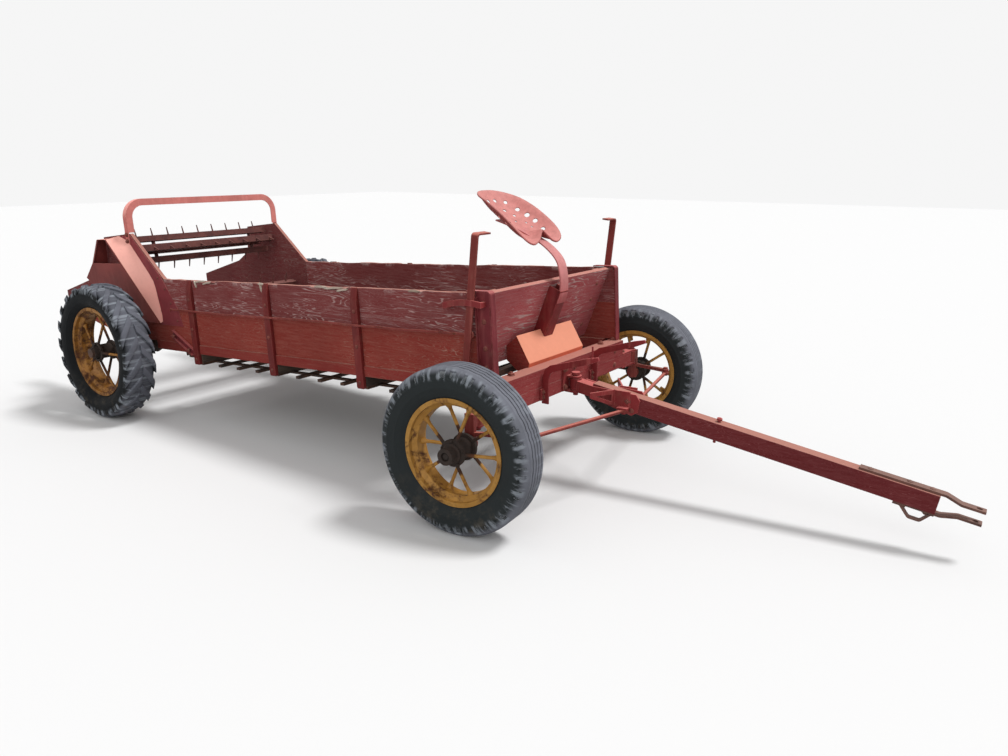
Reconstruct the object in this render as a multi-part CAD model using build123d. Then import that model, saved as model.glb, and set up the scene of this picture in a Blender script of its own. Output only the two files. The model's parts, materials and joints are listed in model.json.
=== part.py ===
from build123d import *
import math
import os

os.makedirs("parts", exist_ok=True)

# A four-wheel, ground-driven manure spreader with a wooden box, in millimetres.
# Work frame: X forward to the tongue, Y to the left, Z up, origin on the ground under the rear axle.
# The box is drawn level and then tilted nose up about the rear axle. Finished pieces are shifted
# along X so that the origin is under the middle of the whole machine.

# Running gear
wheelbase = 2930.0
rearTyreRadius = 430.0
rearTyreHalfWidth = 106.0
rearRimRadius = 272.0
frontTyreRadius = 385.0
frontTyreHalfWidth = 87.0
frontRimRadius = 233.0
wheelTurn = 6.5                 # front wheels and tongue stand turned to the left
steerRatio = 1.4                # wheel turn per tongue turn
tongueTurn = wheelTurn / steerRatio
pinGap = 0.08                   # radial clearance of every pin and shaft
faceGap = 0.3                   # clearance between faces that turn on each other

# Tyres, rims and hubs
lugDepth = 20.0
lugCount = 22                   # on each side of the tread
lugWidth = 40.0
lugSweep = 17.0                 # degrees that a lug runs back round the tyre
grooveWide = 7.0
grooveDeep = 8.0
treadGrooves = (-36.0, -12.0, 12.0, 36.0)
rimWall = 5.0
rimLip = 15.0
rimHalfWidth = 66.0
spokeRadius = 8.0
spokeCount = 10
hubRadius = 46.0
hubInner = 75.0
hubOuter = 119.0
hubFlange = 62.0
hubFlangeWidth = 14.0
spindleRadius = 20.0

# Box, drawn level
boxPitch = 3.3
boxHalf = 595.0
rearWheelY = boxHalf + 290
plank = 25.0
sideTop = 866.0
seam = 668.0
sillTop = 456.0
sillBottom = 400.0
sillWidth = 50.0
boxFront = wheelbase - 2
sillRear = 120.0
sillFront = boxFront - 73
sillProud = 6.0                 # the sills stand out past the planks between the stakes
floorThick = 20.0
floorRear = 495.0
floorFront = wheelbase - 382
floorBoards = 6
boardGap = 3.0

# Stakes and cross sills: x of each pair, then the channel's own size
stakeX = [584.0, 1335.0, 2056.0]
stakeWide = 44.0
stakeDeep = 20.0
stakeWall = 5.0
stakeFoot = 334.0
crossTall = 55.0
crossWide = 60.0

# Corner posts at the front
cornerWide = 75.0
cornerFoot = 364.0
strapFoot = 452.0
strapWide = 38.0
strapThick = 6.0

# Raised rear sides: outline in x and z
rearPeak = (-24.0, 1155.0)
rearShoulder = (269.0, 891.0)
rearBack = (-362.0, 1134.0)
rearWaist = (-392.0, 938.0)
rearKnee = (-520.0, 866.0)
rearTail = (-1000.0, 752.0)
tailDrop = 105.0

# Arch
archX = -52.0
archTop = 1395.0
archFace = 42.0
archWall = 5.0
archFlange = 44.0
archBend = 120.0
archFoot = 1084.0

# Endgate, seat support, spring and seat
endgateTop = (wheelbase - 35.6, 858.0)
endgateBottom = (wheelbase - 212, 470.0)
endgateThick = 24.0
cleatWide = 60.0
supportTop = 836.0
supportBottom = 556.0
supportDeep = 46.0
supportWide = 55.0
supportWall = 6.0
springWide = 50.0
springThick = 8.0
seatRadius = 450.0               # the pan is part of a ball
seatDish = 46.0
seatWall = 3.0
seatTilt = 36.8
seatCentre = (wheelbase - 280, 1217.0)
# Half of the pan's outline from the notch round a lobe to the back: distance forward and to the side
seatEdge = [(183, 0), (207, 22), (235, 50), (257, 80), (266, 112), (257, 148), (228, 180), (185, 197),
            (120, 202),
            (40, 195), (-45, 175), (-110, 139), (-155, 80), (-172, 0)]
seatHoles = [(-124, 26, 9), (-96, 82, 9), (-48, 36, 9), (-24, 106, 9), (2, 62, 9), (30, 118, 11),
             (34, 30, 7),
             (84, 134, 10), (146, 126, 9), (62, 84, 4), (100, 92, 4), (136, 76, 4)]

# Apron: two chains with slats round a front and a rear shaft
chainRadius = 74.0
rearShaftX = 420.0
frontShaftX = wheelbase - 305
chainY = boxHalf - 165         # the chains run well inside the planks
chainWide = 24.0
chainThick = 12.0
chainInner = chainRadius - chainThick / 2
shaftZ = sillTop + faceGap - chainInner     # the upper run slides on the floor
slatWide = 30.0
slatThick = 16.0
slatHalf = boxHalf - 65
slatCount = 26
shaftRadius = 16.0
sprocketTeeth = 8
sprocketWide = 14.0
hangerWide = 90.0
hangerThick = 8.0

# Beaters: centre x and z of each reel, drawn level
upperBeater = (-100.0, 1038.0)
lowerBeater = (165.0, 628.0)
upperReel = {"bars": 72.0, "tines": 56.0, "phase": -11.0}
lowerReel = {"bars": 90.0, "tines": 72.0, "phase": 20.0}
tineLean = (-4.0, 30.0, 26.0, 30.0)    # of the tines on each of the four bars, out of true
barWide = 44.0
barDeep = 38.0
barWall = 5.0
barHalf = 525.0
spiderY = 390.0
tineCount = 9
tinePitch = 118.0
tineRadius = 5.5
beaterShaft = 17.0

# Front gear
bolsterRear = wheelbase - 55
bolsterFront = wheelbase + 25
bolsterTop = 618.0
bolsterBottom = 528.0
axleBottom = 460.0
axleHalf = boxHalf + 105
kingpinY = axleHalf + 40
wheelOffset = 141.0
kingpinRadius = 14.0
endIron = 10.0
armLength = 220.0
armInset = 0.0
armBottom = 424.0
armThick = 18.0
tiePinX = 300.0
tiePinY = 66.0
tieRodRadius = 10.0
tieEye = 20.0
tieEyeThick = 10.0
tieNeck = 36.0                  # flat length between an eye's centre and the round shank
tiePinRadius = 8.0
boltAcross = 26.0               # bolt heads and nuts of the steering
boltHigh = 10.0

# Tongue
tonguePivotX = wheelbase + 73
tongueZ = 500.0
tongueDroop = 9.2
tongueTall = 84.0
tongueWide = 66.0
tongueWoodStart = 110.0
hitchReach = 1872.0
tongueWoodEnd = hitchReach - 147
tongueStrapEnd = 372.0
tongueStrapThick = 8.0
tongueStrapRoot = 58.0
tongueStrapFlare = 112.0
clevisGap = 46.0
clevisThick = 11.0
clevisWide = 42.0
clevisHole = 12.0

# The level box is turned nose up about the rear axle
TILT = Pos(0, 0, rearTyreRadius) * Rot(0, -boxPitch, 0) * Pos(0, 0, -rearTyreRadius)


def block(x, y, z):
    """A box from its low and high limits along each axis."""
    middle = Pos((x[0] + x[1]) / 2, (y[0] + y[1]) / 2, (z[0] + z[1]) / 2)
    return middle * Box(x[1] - x[0], y[1] - y[0], z[1] - z[0])


def slab(points, thickness):
    """A flat outline given a thickness along a vector."""
    face = make_face(Polyline(points, close=True)).face()
    travel = Vector(*thickness)
    if face.normal_at().dot(travel) < 0:
        face = -face
    return extrude(face, amount=travel.length, dir=travel.normalized())


def side_plate(outline, y):
    """A flat piece cut to an outline in x and z, between two values of y."""
    return Pos(0, y[0], 0) * slab([(x, 0, z) for x, z in outline], (0, y[1] - y[0], 0))


def rod(start, end, radius):
    """A round bar from one point to another."""
    run = Vector(*end) - Vector(*start)
    return Plane(origin=start, z_dir=run) * Cylinder(radius, run.length,
                                                     align=(Align.CENTER, Align.CENTER, Align.MIN))


def cross_pin(x, z, y, radius):
    """A round bar along Y."""
    return rod((x, y[0], z), (x, y[1], z), radius)


def bent_bar(points, radii, wide, thick, across):
    """A flat bar bent along a path; its width lies along the direction across."""
    path = FilletPolyline(*points, radius=radii) if len(points) > 2 else Line(*points)
    section = Plane(origin=path @ 0, z_dir=path % 0, x_dir=across) * Rectangle(wide, thick)
    return sweep(section, path=path)


def mirrored(shape):
    """The same piece for the other side of the machine."""
    return mirror(shape, about=Plane.XZ)


def both(shape):
    """A piece of the right side together with its mirror image on the left."""
    solids = list(shape.solids())
    return Compound(children=solids + [mirrored(solid) for solid in solids])


def ring(outline):
    """A body of revolution about Y from points or arcs of radius and y."""
    return revolve(make_face(outline), axis=Axis.Y)


# Wheels are drawn about Y at the origin with the outer side towards -Y.
def tyre(radius, halfWidth, seat, grooves=()):
    """A round-shouldered casing, with grooves round the tread at the given distances from its middle."""
    beadHalf = rimHalfWidth - rimWall - 1
    beadTop = seat + rimLip + 3
    wall = radius - 14 - beadTop
    side = [(seat, beadHalf), (beadTop, beadHalf), (beadTop + wall * 0.2, halfWidth * 0.9),
            (beadTop + wall * 0.45, halfWidth),
            (beadTop + wall * 0.75, halfWidth * 0.96), (radius - 14, halfWidth * 0.82),
            (radius, halfWidth * 0.62)]
    tread = []
    for y in sorted(grooves, reverse=True):
        tread += [(radius, y + grooveWide / 2), (radius - grooveDeep, y + grooveWide / 2),
                  (radius - grooveDeep, y - grooveWide / 2), (radius, y - grooveWide / 2)]
    points = side + tread + [(reach, -y) for reach, y in reversed(side)]
    return ring(Polyline(points, close=True))


def faceted(low, high):
    """A solid with flat facets between two rings of as many corners."""
    count = len(low)
    facets = [low[::-1], high]
    for i in range(count):
        j = (i + 1) % count
        facets += [[low[i], low[j], high[j]], [low[i], high[j], high[i]]]
    return Solid(Shell([make_face(Polyline(points, close=True)).face() for points in facets]))


def lug(angle, side):
    """One slanted tread bar, from the middle of the tread to the shoulder."""
    def section(y, turn, low, high, wide):
        points = []
        for reach, across in ((low, -wide / 2), (high, -wide / 2), (high, wide / 2), (low, wide / 2)):
            around = math.radians(angle + turn) + math.asin(across / reach)
            points.append((reach * math.cos(around), y, reach * math.sin(around)))
        return points
    root = rearTyreRadius - lugDepth
    inner = section(side * 4, 0, root - 12, rearTyreRadius, lugWidth)
    outer = section(side * (rearTyreHalfWidth - 4), -lugSweep, root - 44, rearTyreRadius - 24,
                    lugWidth * 1.1)
    return faceted(inner, outer) if side < 0 else faceted(outer, inner)


def lugged_tyre():
    """The rear tyre: a casing with two staggered rows of slanted bars."""
    casing = tyre(rearTyreRadius - lugDepth, rearTyreHalfWidth - 4, rearRimRadius)
    step = 360 / lugCount
    lugs = [lug(i * step, 1) for i in range(lugCount)] + [lug((i + 0.5) * step, -1)
                                                          for i in range(lugCount)]
    return casing.fuse(*lugs)


def rim(seat):
    """A barrel with turned-up lips for the tyre beads."""
    half = rimHalfWidth
    lip = seat + rimLip
    points = [
        (seat - rimWall, -half), (lip, -half), (lip, -half + rimWall), (seat, -half + rimWall),
        (seat, half - rimWall), (lip, half - rimWall), (lip, half), (seat - rimWall, half),
        (seat - rimWall, half - 22), (seat - 26, half - 36), (seat - 26, -half + 36),
        (seat - rimWall, -half + 22),
    ]
    return ring(Polyline(points, close=True))


def spoked_wheel(seat, bore, hubOut, hubIn):
    """Rim, two staggered rows of round spokes and an open-ended hub in one piece."""
    hub = ring(Polyline([
        (bore, -hubOut), (hubRadius - 8, -hubOut), (hubRadius - 8, -hubOut + 44), (hubRadius, -hubOut + 50),
        (hubRadius, -46 - hubFlangeWidth), (hubFlange, -46 - hubFlangeWidth), (hubFlange, -46),
        (hubRadius, -46),
        (hubRadius, 34), (hubFlange, 34), (hubFlange, 34 + hubFlangeWidth),
        (hubRadius, 34 + hubFlangeWidth),
        (hubRadius, hubIn), (bore, hubIn),
    ], close=True))
    spokes = []
    for i in range(spokeCount):
        turn = math.radians(360 / spokeCount * i)
        out = i % 2 == 0
        hubY = -46 - hubFlangeWidth / 2 if out else 34 + hubFlangeWidth / 2
        rimY = -14 if out else 14
        low, high = hubFlange - 12, seat - 20
        spokes.append(rod((low * math.cos(turn), hubY, low * math.sin(turn)),
                          (high * math.cos(turn), rimY, high * math.sin(turn)), spokeRadius))
    return rim(seat).fuse(hub, *spokes)


# Rear wheels
rearTyre = lugged_tyre()
rearWheel = spoked_wheel(rearRimRadius, spindleRadius + pinGap, hubOuter - 34, hubInner)
rearPlace = Pos(0, -rearWheelY, rearTyreRadius)

# Front wheels, turned on their king pins
frontTyre = tyre(frontTyreRadius, frontTyreHalfWidth, frontRimRadius, treadGrooves)
frontWheel = spoked_wheel(frontRimRadius, spindleRadius + pinGap, hubOuter, hubInner)


def steered(side):
    """Moves a piece drawn about the king pin's foot to its place and turns it with the wheels."""
    return Pos(wheelbase, side * kingpinY, 0) * Rot(0, 0, wheelTurn)


def knuckle():
    """Boss between the axle irons, drop leg, stub axle and steering arm of the right wheel."""
    middle = Pos(0, 0, (axleBottom + bolsterBottom) / 2)
    boss = middle * Cylinder(30, bolsterBottom - axleBottom - 2 * faceGap)
    pin = middle * Cylinder(kingpinRadius, bolsterBottom - axleBottom + 2 * endIron + 24)
    headHeights = (axleBottom - endIron - 8 - faceGap, bolsterBottom + endIron + 8 + faceGap)
    heads = [Pos(0, 0, z) * Cylinder(22, 8) for z in headHeights]
    neck = block((-22, 22), (-60, 0), (axleBottom + 3, bolsterBottom - 3))
    leg = block((-24, 24), (-62, -38), (frontTyreRadius - 28, bolsterBottom - 3))
    stub = cross_pin(0, frontTyreRadius, (-wheelOffset - hubOuter + 12, -60), spindleRadius)
    collar = cross_pin(0, frontTyreRadius, (-wheelOffset + hubInner + faceGap, -38), 32)
    nut = cross_pin(0, frontTyreRadius, (-wheelOffset - hubOuter + 6, -wheelOffset - hubOuter + 24), 14)
    arm = slab([(-20, -62, armBottom), (-20, -38, armBottom), (24, -38, armBottom),
                (armLength, armInset + 16, armBottom),
                (armLength, armInset - 16, armBottom), (70, -40, armBottom), (24, -62, armBottom)],
                (0, 0, armThick))
    eye = Pos(armLength, armInset, armBottom + armThick / 2) * Cylinder(18, armThick)
    boltHead = Pos(armLength, armInset, armBottom + armThick + boltHigh / 2) * Cylinder(boltAcross / 2,
                                                                                        boltHigh)
    return boss + pin + heads[0] + heads[1] + neck + leg + stub + collar + nut + arm + eye + boltHead


def axle_iron(side):
    """Top and bottom irons that hold one king pin on the end of the axle."""
    y = side * kingpinY
    hole = Pos(wheelbase, y, 500) * Cylinder(kingpinRadius + pinGap, 200)
    irons = []
    for low in (axleBottom - endIron, bolsterBottom):
        tab = block((wheelbase - 25, wheelbase + 25), sorted((y, side * (boxHalf + 5))),
                    (low, low + endIron))
        end = Pos(wheelbase, y, low + endIron / 2) * Cylinder(30, endIron)
        irons.append((tab + end) - hole)
    return irons


# Front axle of wood with its irons, and the bolster that carries the box
rightIrons = axle_iron(-1)
leftIrons = axle_iron(1)
axleBeam = block((bolsterRear, bolsterFront), (-axleHalf, axleHalf), (axleBottom, bolsterBottom))
bolster = block((bolsterRear, bolsterFront), (-boxHalf, boxHalf), (bolsterBottom, bolsterTop))

# Tie rods run from pins under the tongue to the steering arms
tongueAngle = math.radians(tongueTurn)
wheelAngle = math.radians(wheelTurn)


def turned(x, y, angle):
    """A point turned about the origin in plan."""
    return (x * math.cos(angle) - y * math.sin(angle), x * math.sin(angle) + y * math.cos(angle))


def tie_ends(side):
    """Inner and outer eye of one tie rod, in plan."""
    inX, inY = turned(tiePinX, side * tiePinY, tongueAngle)
    outX, outY = turned(armLength, -side * armInset, wheelAngle)
    return (tonguePivotX + inX, inY), (wheelbase + outX, side * kingpinY + outY)


def tie_rod(side):
    """A round rod with a flat eye at each end; its outer eye hangs under the steering arm."""
    inner, outer = tie_ends(side)
    z = armBottom - faceGap - tieEyeThick / 2
    run = Vector(outer[0] - inner[0], outer[1] - inner[1], 0)
    along = run.normalized()
    start = Vector(inner[0], inner[1], z) + along * tieNeck
    end = Vector(outer[0], outer[1], z) - along * tieNeck
    body = rod(tuple(start), tuple(end), tieRodRadius)
    for x, y in (inner, outer):
        body += Pos(x, y, z) * Cylinder(tieEye, tieEyeThick)
    flat = Plane(origin=((inner[0] + outer[0]) / 2, (inner[1] + outer[1]) / 2, z), x_dir=run,
                 z_dir=(0, 0, 1))
    body += flat * Box(run.length, tieRodRadius * 2 - 3, tieEyeThick - 1)
    body -= Pos(inner[0], inner[1], z) * Cylinder(tiePinRadius + pinGap, 60)
    nut = Pos(outer[0], outer[1], z - tieEyeThick / 2 - boltHigh / 2) * Cylinder(boltAcross / 2, boltHigh)
    return body + nut


# Box sides, drawn level
upperPlank = side_plate([(rearShoulder[0] + 31, seam), (rearShoulder[0] + 31, sideTop),
                         (boxFront - 16, sideTop),
                         (boxFront, sideTop - 16), (boxFront, seam)], (-boxHalf, -boxHalf + plank))
lowerPlank = side_plate([(rearTail[0], seam), (rearTail[0], seam - 28), (-620, 530), (-250, sillTop),
                         (boxFront, sillTop), (boxFront, seam)], (-boxHalf, -boxHalf + plank))
rearPanel = side_plate([(rearShoulder[0] + 31, seam), (rearShoulder[0] + 31, sideTop), rearShoulder,
                        rearPeak, rearBack,
                        rearWaist, rearKnee, rearTail, (rearTail[0], seam)], (-boxHalf, -boxHalf + plank))
sill = block((sillRear, sillFront), (-boxHalf, -boxHalf + sillWidth), (sillBottom, sillTop))
bays = [(start + stakeWide / 2 + 1, end - stakeWide / 2 - 1)
        for start, end in zip(stakeX, stakeX[1:] + [boxFront - cornerWide + stakeWide / 2])]
for bay in bays:
    sill += block(bay, (-boxHalf - sillProud, -boxHalf), (sillBottom, sillTop))
shaftHole = beaterShaft + 4
for x, z in (upperBeater, lowerBeater):
    bore = cross_pin(x, z, (-boxHalf - 10, -boxHalf + plank + 10), shaftHole)
    rearPanel -= bore
    lowerPlank -= bore


def stake(x):
    """A channel on the outside of the box, open outwards, from the rail down past the sill."""
    y = -boxHalf
    web = block((x - stakeWide / 2, x + stakeWide / 2), (y - stakeWall, y), (stakeFoot, sideTop))
    for edge in (x - stakeWide / 2, x + stakeWide / 2 - stakeWall):
        web += block((edge, edge + stakeWall), (y - stakeDeep, y), (stakeFoot, sideTop))
    return web


stakes = Compound(children=[stake(x) for x in stakeX])
floorHalf = boxHalf - sillWidth


def cross_sill(x):
    """A timber under both sills, with a bearer on it that the floor lies on."""
    across = (x - crossWide / 2, x + crossWide / 2)
    bearer = block(across, (-floorHalf, floorHalf), (sillBottom, sillTop - floorThick))
    return block(across, (-boxHalf, boxHalf), (sillBottom - crossTall, sillBottom)) + bearer


crossSills = Compound(children=[cross_sill(x) for x in stakeX])

# Corner post: a channel with its open side out and a strap bent over the top of the side
cornerRear = boxFront - cornerWide
cornerPost = block((cornerRear, boxFront), (-boxHalf - stakeWall, -boxHalf), (cornerFoot, sideTop + 4))
cornerPost += block((cornerRear, cornerRear + stakeWall), (-boxHalf - stakeDeep, -boxHalf),
                    (cornerFoot, sideTop - 20))
cornerPost += bent_bar([(boxFront + strapThick / 2, -boxHalf + strapWide / 2 - 4, strapFoot),
                        (boxFront + strapThick / 2, -boxHalf + strapWide / 2 - 4,
                         sideTop + strapThick / 2 + 4),
                        (cornerRear - 60, -boxHalf + strapWide / 2 - 4, sideTop + strapThick / 2 + 4)],
                       [18], strapWide, strapThick, (0, 1, 0))

# Floor boards
boardWide = (2 * floorHalf - (floorBoards - 1) * boardGap) / floorBoards
floorPlanks = Compound(children=[
    block((floorRear, floorFront), (-floorHalf + i * (boardWide + boardGap),
                                    -floorHalf + i * (boardWide + boardGap) + boardWide),
          (sillTop - floorThick, sillTop)) for i in range(floorBoards)])


def loop(radius, wide, y):
    """The ring that a chain fills, round both shafts."""
    middle = (rearShaftX + frontShaftX) / 2
    long = frontShaftX - rearShaftX
    face = Plane.XZ * SlotCenterToCenter(long, 2 * radius)
    return Pos(middle, y + wide / 2, shaftZ) * extrude(face, amount=wide)


def on_loop(travel):
    """Place of a slat after some travel along the chain."""
    straight = frontShaftX - rearShaftX
    bend = math.pi * chainRadius
    if travel < straight:
        return Pos(rearShaftX + travel, 0, shaftZ + chainRadius)
    if travel < straight + bend:
        turn = math.degrees((travel - straight) / chainRadius)
        return Pos(frontShaftX, 0, shaftZ) * Rot(0, turn, 0) * Pos(0, 0, chainRadius)
    if travel < 2 * straight + bend:
        return Pos(frontShaftX - (travel - straight - bend), 0, shaftZ - chainRadius)
    turn = math.degrees((travel - 2 * straight - bend) / chainRadius) + 180
    return Pos(rearShaftX, 0, shaftZ) * Rot(0, turn, 0) * Pos(0, 0, chainRadius)


chains = [loop(chainInner + chainThick, chainWide, y) - loop(chainInner, chainWide + 2, y)
          for y in (-chainY, chainY)]
loopLength = 2 * (frontShaftX - rearShaftX) + 2 * math.pi * chainRadius
slatLift = (slatThick - chainThick) / 2
slats = [on_loop(loopLength / slatCount * (i + 0.3)) * Pos(0, 0, slatLift)
         * Box(slatWide, 2 * slatHalf, slatThick)
         for i in range(slatCount)]
apron = chains[0].fuse(chains[1], *slats)


def sprocket(x, z, y, radius, teeth, wide):
    """A toothed wheel on a shaft along Y."""
    points = []
    for i in range(teeth):
        for part, reach in ((0.0, radius - 12), (0.32, radius - 12), (0.45, radius), (0.87, radius)):
            turn = 2 * math.pi * (i + part) / teeth
            points.append((reach * math.cos(turn), 0, reach * math.sin(turn)))
    return Pos(x, y - wide / 2, z) * slab(points, (0, wide, 0))


def apron_shaft(x):
    """A cross shaft with the two sprockets that carry the chains."""
    shaft = cross_pin(x, shaftZ, (-floorHalf, floorHalf), shaftRadius)
    for y in (-chainY, chainY):
        shaft += sprocket(x, shaftZ, y, chainInner - pinGap, sprocketTeeth, sprocketWide)
    return shaft


def hanger(x, side):
    """A plate inside the sill that holds one end of an apron shaft."""
    inner = floorHalf - hangerThick
    y = (-floorHalf, -inner) if side < 0 else (inner, floorHalf)
    plate = side_plate([(x - hangerWide / 2, sillTop - floorThick - 1),
                        (x + hangerWide / 2, sillTop - floorThick - 1),
                        (x + 26, shaftZ - 34), (x - 26, shaftZ - 34)], y)
    return plate - cross_pin(x, shaftZ, (-boxHalf, boxHalf), shaftRadius + pinGap)


hangers = Compound(children=[hanger(x, side) for x in (rearShaftX, frontShaftX) for side in (-1, 1)])

# Rear axle and the plates that hang it from the sides
axleZ = rearTyreRadius
rearAxle = cross_pin(0, axleZ, (-rearWheelY - hubOuter + 24, rearWheelY + hubOuter - 24), spindleRadius)
for side in (-1, 1):
    inner = side * (rearWheelY - hubInner - faceGap)
    rearAxle += cross_pin(0, axleZ, sorted((inner, inner - side * 24)), 34)
    outer = side * (rearWheelY + hubOuter - 34 + faceGap)
    rearAxle += cross_pin(0, axleZ, sorted((outer, outer + side * 18)), 30)
axleSprocketY = boxHalf + 84
for side in (-1, 1):
    rearAxle += sprocket(0, axleZ, side * axleSprocketY, 165.0, 32, sprocketWide)
axlePlateThick = 10.0
axlePlate = side_plate([(-95, sillTop + 130), (110, sillTop + 130), (110, sillBottom - 10),
                        (60, axleZ - 62),
                        (-50, axleZ - 62), (-95, axleZ - 10)],
                        (-boxHalf + plank, -boxHalf + plank + axlePlateThick))
axleBoss = cross_pin(0, axleZ, (-boxHalf + plank, -boxHalf + plank + axlePlateThick + 22), 42)
axlePlate = TILT * axlePlate
axlePlate = (axlePlate + axleBoss) - cross_pin(0, axleZ, (-boxHalf - 50, 0), spindleRadius)


def reel(x, z, size):
    """A shaft with two four-armed spiders; four channel bars carry round tines."""
    arms = []
    for y in (-spiderY, spiderY):
        for i in range(4):
            turn = size["phase"] + 90 * i
            arms.append(Pos(x, y, z) * Rot(0, turn, 0)
                        * block((-16, 16), (-5, 5), (0, size["bars"] + barDeep / 2 - barWall / 2)))
        arms.append(cross_pin(x, z, (y - 22, y + 22), beaterShaft + 14))
    bars = []
    for i in range(4):
        turn = size["phase"] + 90 * i
        place = Pos(x, 0, z) * Rot(0, turn, 0) * Pos(0, 0, size["bars"])
        bar = block((-barWide / 2, barWide / 2), (-barHalf, barHalf), (-barDeep / 2, barDeep / 2))
        bar -= block((-barWide / 2 + barWall, barWide / 2 - barWall), (-barHalf - 1, barHalf + 1),
                     (-barDeep, barDeep / 2 - barWall))
        bars.append(place * bar)
        for k in range(tineCount):
            y = (k - (tineCount - 1) / 2) * tinePitch + (tinePitch / 4 if i % 2 else -tinePitch / 4)
            tine = Cone(tineRadius, tineRadius * 0.6, size["tines"],
                        align=(Align.CENTER, Align.CENTER, Align.MIN))
            bars.append(place * Pos(0, y, barDeep / 2 - barWall / 2) * Rot(0, tineLean[i], 0) * tine)
    return arms, bars


beaterBearing = 34.0
shaftEnd = {"chain": 62.0, "plain": 17.0}     # how far a shaft reaches past the box side


def beater(x, z, size, right, left):
    """A reel on its shaft, which ends outside the box with room for a sprocket or without."""
    arms, bars = reel(x, z, size)
    shaft = cross_pin(x, z, (-boxHalf - shaftEnd[right], boxHalf + shaftEnd[left]), beaterShaft)
    return arms[0].fuse(*arms[1:], *bars, shaft)


def beater_bearing(x, z):
    """A flanged bearing on the outside of the side."""
    flange = cross_pin(x, z, (-boxHalf - 7, -boxHalf), beaterBearing + 14)
    bearing = flange + cross_pin(x, z, (-boxHalf - 13, -boxHalf), beaterBearing - 8)
    return bearing - cross_pin(x, z, (-boxHalf - 60, -boxHalf + 30), beaterShaft + pinGap)


bearings = Compound(children=[beater_bearing(*upperBeater), beater_bearing(*lowerBeater)])
drivenSprocket = {"upper": 36.0, "lower": 64.0}
sprocketOut = boxHalf + 44

# Arch: an angle iron bent over the beaters, its legs bolted to the raised sides
archPath = [(archX, -boxHalf - archWall / 2 - 0.5, archFoot),
            (archX, -boxHalf - archWall / 2 - 0.5, archTop - archFace / 2),
            (archX, boxHalf + archWall / 2 + 0.5, archTop - archFace / 2),
            (archX, boxHalf + archWall / 2 + 0.5, archFoot)]
arch = bent_bar(archPath, [archBend, archBend], archFace, archWall, (1, 0, 0))


def arch_outline(inset):
    """The arch seen from the front, drawn in from its outer face, as a solid as thick as its wall."""
    half = boxHalf + archWall + 0.5 - inset
    top = archTop - archFace / 2 + archWall / 2 - inset
    bend = archBend + archWall / 2 - inset
    points = [(archX + archFace / 2, -half, archFoot + 30), (archX + archFace / 2, -half, top),
              (archX + archFace / 2, half, top), (archX + archFace / 2, half, archFoot + 30)]
    edge = FilletPolyline(*points, radius=bend)
    return extrude(make_face([*edge.edges(), Line(points[-1], points[0])]).face(), amount=archWall,
                   dir=(-1, 0, 0))


# The angle's other flange faces forward, above the sides only
flange = arch_outline(0) - arch_outline(archFlange)
flange -= block((archX - 50, archX + 50), (-boxHalf - 20, boxHalf + 20), (archFoot - 10, rearPeak[1] + 6))
arch += flange

# Chain cover on the right side: a sloping sheet, a side sheet with a window in it, a roof and a back
sheetThick = 3.0
sheetY = -boxHalf - sheetThick
coverIn = sheetY - faceGap
coverWide = 92.0
coverHead = (-160.0, 1123.0)
coverFoot = (224.0, 578.0)
coverFootWide = 14.0
coverEdge = [(-159.0, 1142.0), (-52.0, 1106.0), (139.0, 903.0), (190.0, 839.0), (235.0, 607.0),
             (230.0, 586.0)]
windowBottom = 965.0
windowBack = (-424.0, 963.0)
coverKnee = (-566.0, 860.0)
roofBack = (-278.0, 1123.0)
coverBends = [955.0, 850.0, 640.0]      # heights at which the slope's facets meet
backWaist = 942.0                       # heights of the back panel's inner corners
backKnee = 862.0
sheetBelly = (coverFoot[0] - 124, 700.0)
coverBelly = (-330.0, 700.0)
notchRoom = 3.0
coverBottomBack = -120.0
sheetFoot = [(456.0, 566.0), (424.0, 668.0)]


def cover_point(x, z):
    """A point of the leaning side sheet."""
    share = (coverHead[1] - z) / (coverHead[1] - coverFoot[1])
    return (x, coverIn - coverWide + share * (coverWide - coverFootWide), z)


def cover_edge(z):
    """The point at a height on the edge between the slope and the side sheet."""
    share = (coverHead[1] - z) / (coverHead[1] - coverFoot[1])
    return cover_point(coverHead[0] + share * (coverFoot[0] - coverHead[0]), z)


def skin(first, second, thickness):
    """A thin sheet of flat facets between two lines of as many points."""
    sheets = []
    for i in range(len(first) - 1):
        sheets.append(slab([first[i], second[i + 1], second[i]], thickness))
        sheets.append(slab([first[i], first[i + 1], second[i + 1]], thickness))
    return sheets[0].fuse(*sheets[1:])


sheet = side_plate([(rearPeak[0] - 230, rearPeak[1] - 24), (rearPeak[0] + 2, rearPeak[1] - 12),
                    (rearShoulder[0] + 4, rearShoulder[1] - 12), *sheetFoot[::-1],
                    (coverFoot[0] - 14, sheetFoot[0][1]),
                    sheetBelly], (sheetY, -boxHalf))
edgeHeights = [coverHead[1], coverHead[1] - 40, *coverBends, coverFoot[1]]
coverSlope = skin([cover_edge(z) for z in edgeHeights], [(x, coverIn, z) for x, z in coverEdge],
                  (0.6 * sheetThick, -0.5 * sheetThick, 0.6 * sheetThick))
sideOutward = (0, -sheetThick, -0.5)
coverSide = slab([cover_edge(windowBottom), cover_edge(coverFoot[1]),
                  cover_point(coverBottomBack, coverFoot[1]),
                  cover_point(*coverBelly), cover_point(*coverKnee),
                  cover_point(windowBack[0], windowBottom)], sideOutward)
stripWide = 14.0
stripTop = roofBack[1] + sheetThick
windowStrip = slab([cover_point(roofBack[0], stripTop), cover_point(roofBack[0] + stripWide, stripTop),
                    cover_point(windowBack[0] + stripWide, windowBottom),
                    cover_point(windowBack[0] + stripWide, windowBottom - stripWide),
                    cover_point(windowBack[0], windowBottom - stripWide),
                    cover_point(windowBack[0], windowBottom)], sideOutward)
roofOut = coverIn - coverWide - 2
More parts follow.
